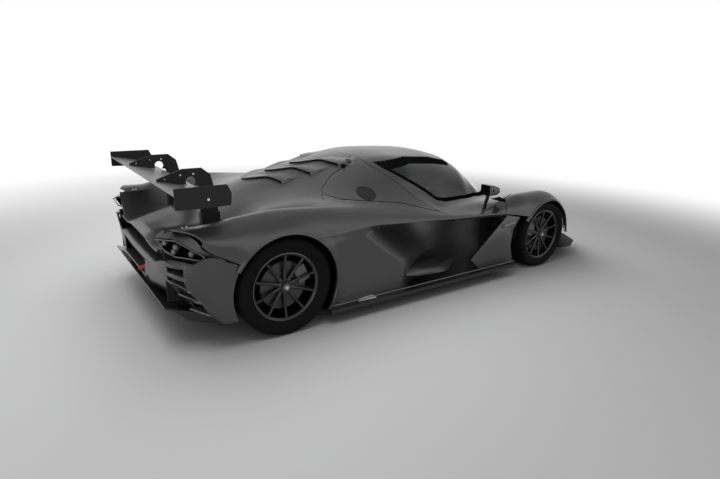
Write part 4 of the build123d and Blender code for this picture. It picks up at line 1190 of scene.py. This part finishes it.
def make_seams():
    """Black bead of painted shade in the gap under the canopy's lower edge, and the dark seam from the sail's corner
    down to the haunch.
    """
    run = []
    for x in np.linspace(0.16, 0.945, 30):
        px, y, z = section(AXLE_MID + x, SILL, BELT, 4)[-1]
        run.append((px, y - 0.001, z - 0.009))
    # The bead along the gap is painted shade
    gap = tube(run, 0.009)
    seam = line_on_skin([(-0.925, 0.905), (-0.985, 0.872)], RIM, ROOF, 0.002)
    dress_pair("dark_seams", [gap, seam], DARK, angle=60)


def make_fender_openings():
    """Black plates of painted shade on the skin where the openings behind the front wheels are, and the thin rod
    over each.
    """
    face = [(0.781, 0.843, 0.676), (0.782, 0.905, 0.65), (0.895, 0.925, 0.584), (0.659, 0.933, 0.618)]
    face = [at(x, y + 0.004, z + 0.003) for x, y, z in face]
    dress_pair("fender_opening_shades", [plate(face, 0.003, (-0.2, 0.7, 0.7))], DARK)
    rod = cylinder(at(0.6, 0.9, 0.642), at(0.936, 0.9, 0.776), 0.003, 12)
    dress_pair("fender_rods", [rod], BORDER, angle=60)


make_louvres()
make_arch_lips()
make_corners()
make_fascia()
make_lamps()
make_blades()
make_vanes()
make_sail_details()
make_border()
make_brows()
make_plank_edges()
make_mirrors()
make_bolts()
make_fender_openings()
make_seams()


FLOOR_GREY = (0.36, 0.36, 0.365, 1)
FADE_START = 3.6
FADE_END = 7.5
SOFT_STRENGTH = 0.48
GROUND_HALF = 200


def path_seen(tree, path):
    """Camera, glossy and transmission rays, which all see the plain white surroundings."""
    total = path.outputs["Is Camera Ray"]
    for kind in ("Is Glossy Ray", "Is Transmission Ray"):
        total = new_node(tree, "Math", {0: total, 1: path.outputs[kind]}, mode="MAXIMUM").outputs[0]
    return total


def make_floor():
    """Pale grey floor that fades to white far from the car and keeps its shadow."""
    floor = bpy.data.materials.new("studio_floor")
    floor.use_nodes = True
    tree = floor.node_tree
    tree.nodes.clear()
    place = new_node(tree, "NewGeometry").outputs["Position"]
    far = new_node(tree, "VectorMath", {0: place}, mode="LENGTH")
    fade = new_node(tree, "MapRange", {
        "From Min": FADE_START, "From Max": FADE_END, "Value": far.outputs["Value"]}, mode="SMOOTHSTEP")
    seen = path_seen(tree, new_node(tree, "LightPath"))
    share = new_node(tree, "Math", {0: fade.outputs["Result"], 1: seen}, mode="MULTIPLY")
    grey = new_node(tree, "BsdfDiffuse", {"Color": FLOOR_GREY}).outputs["BSDF"]
    white = new_node(tree, "Emission").outputs["Emission"]
    mix = new_node(tree, "MixShader", {"Fac": share.outputs[0], 1: grey, 2: white})
    new_node(tree, "OutputMaterial", {"Surface": mix.outputs["Shader"]})
    return floor


def make_world():
    """White round the horizon, darker overhead, as in a room with lamps below a dim ceiling."""
    world = bpy.data.worlds.new("world")
    bpy.context.scene.world = world
    world.use_nodes = True
    tree = world.node_tree
    tree.nodes.clear()
    path = new_node(tree, "LightPath")
    place = new_node(tree, "TexCoord").outputs["Generated"]
    parts = new_node(tree, "SeparateXYZ", {"Vector": place})
    dim = new_node(tree, "MapRange", {
        "From Min": 0.3, "From Max": 0.85, "To Min": 1.0, "To Max": 0.25, "Value": parts.outputs["Z"]},
                   mode="SMOOTHSTEP")
    # What the surfaces mirror is dimmer straight ahead of the car
    ahead = new_node(tree, "MapRange", {
        "From Min": 0.72, "From Max": 0.95, "To Min": 1.0, "To Max": 0.3, "Value": parts.outputs["X"]})
    shown = new_node(tree, "Math", {0: ahead.outputs["Result"], 1: path.outputs["Is Camera Ray"]}, mode="MAXIMUM")
    both = new_node(tree, "Math", {0: dim.outputs["Result"], 1: shown.outputs[0]}, mode="MULTIPLY")
    soft = new_node(tree, "Background", {"Color": (1, 1, 1, 1), "Strength": SOFT_STRENGTH})
    plain = new_node(tree, "Background", {"Color": (1, 1, 1, 1), "Strength": both.outputs[0]})
    mix = new_node(tree, "MixShader", {
        "Fac": path_seen(tree, path), 1: soft.outputs["Background"], 2: plain.outputs["Background"]})
    new_node(tree, "OutputWorld", {"Surface": mix.outputs["Shader"]})


def make_stage():
    """White surroundings, soft lamps and a pale floor that takes the shadow."""
    make_world()
    corners = [(x * GROUND_HALF, y * GROUND_HALF, 0) for x, y in ((-1, -1), (1, -1), (1, 1), (-1, 1))]
    ground = make_object("studio_ground", corners, [(0, 1, 2, 3)])
    ground.data.materials.append(make_floor())

    for name, at, aim, size, power in (
            ("lamp_top", (-1.2, 0.6, 4.0), (-0.4, 0, 0.3), (7.0, 3.2), 330),
            ("lamp_far", (-1.0, 6.0, 2.8), (-0.4, 0, 0.8), (8.0, 2.4), 220)):
        data = bpy.data.lights.new(name, "AREA")
        data.shape = "RECTANGLE"
        data.size, data.size_y = size
        data.energy = power
        lamp = bpy.data.objects.new(name, data)
        lamp.visible_glossy = False
        lamp.location = at
        lamp.rotation_euler = (Vector(aim) - Vector(at)).to_track_quat("-Z", "Y").to_euler()
        bpy.context.collection.objects.link(lamp)


make_stage()

bpy.context.scene.view_settings.view_transform = "Standard"
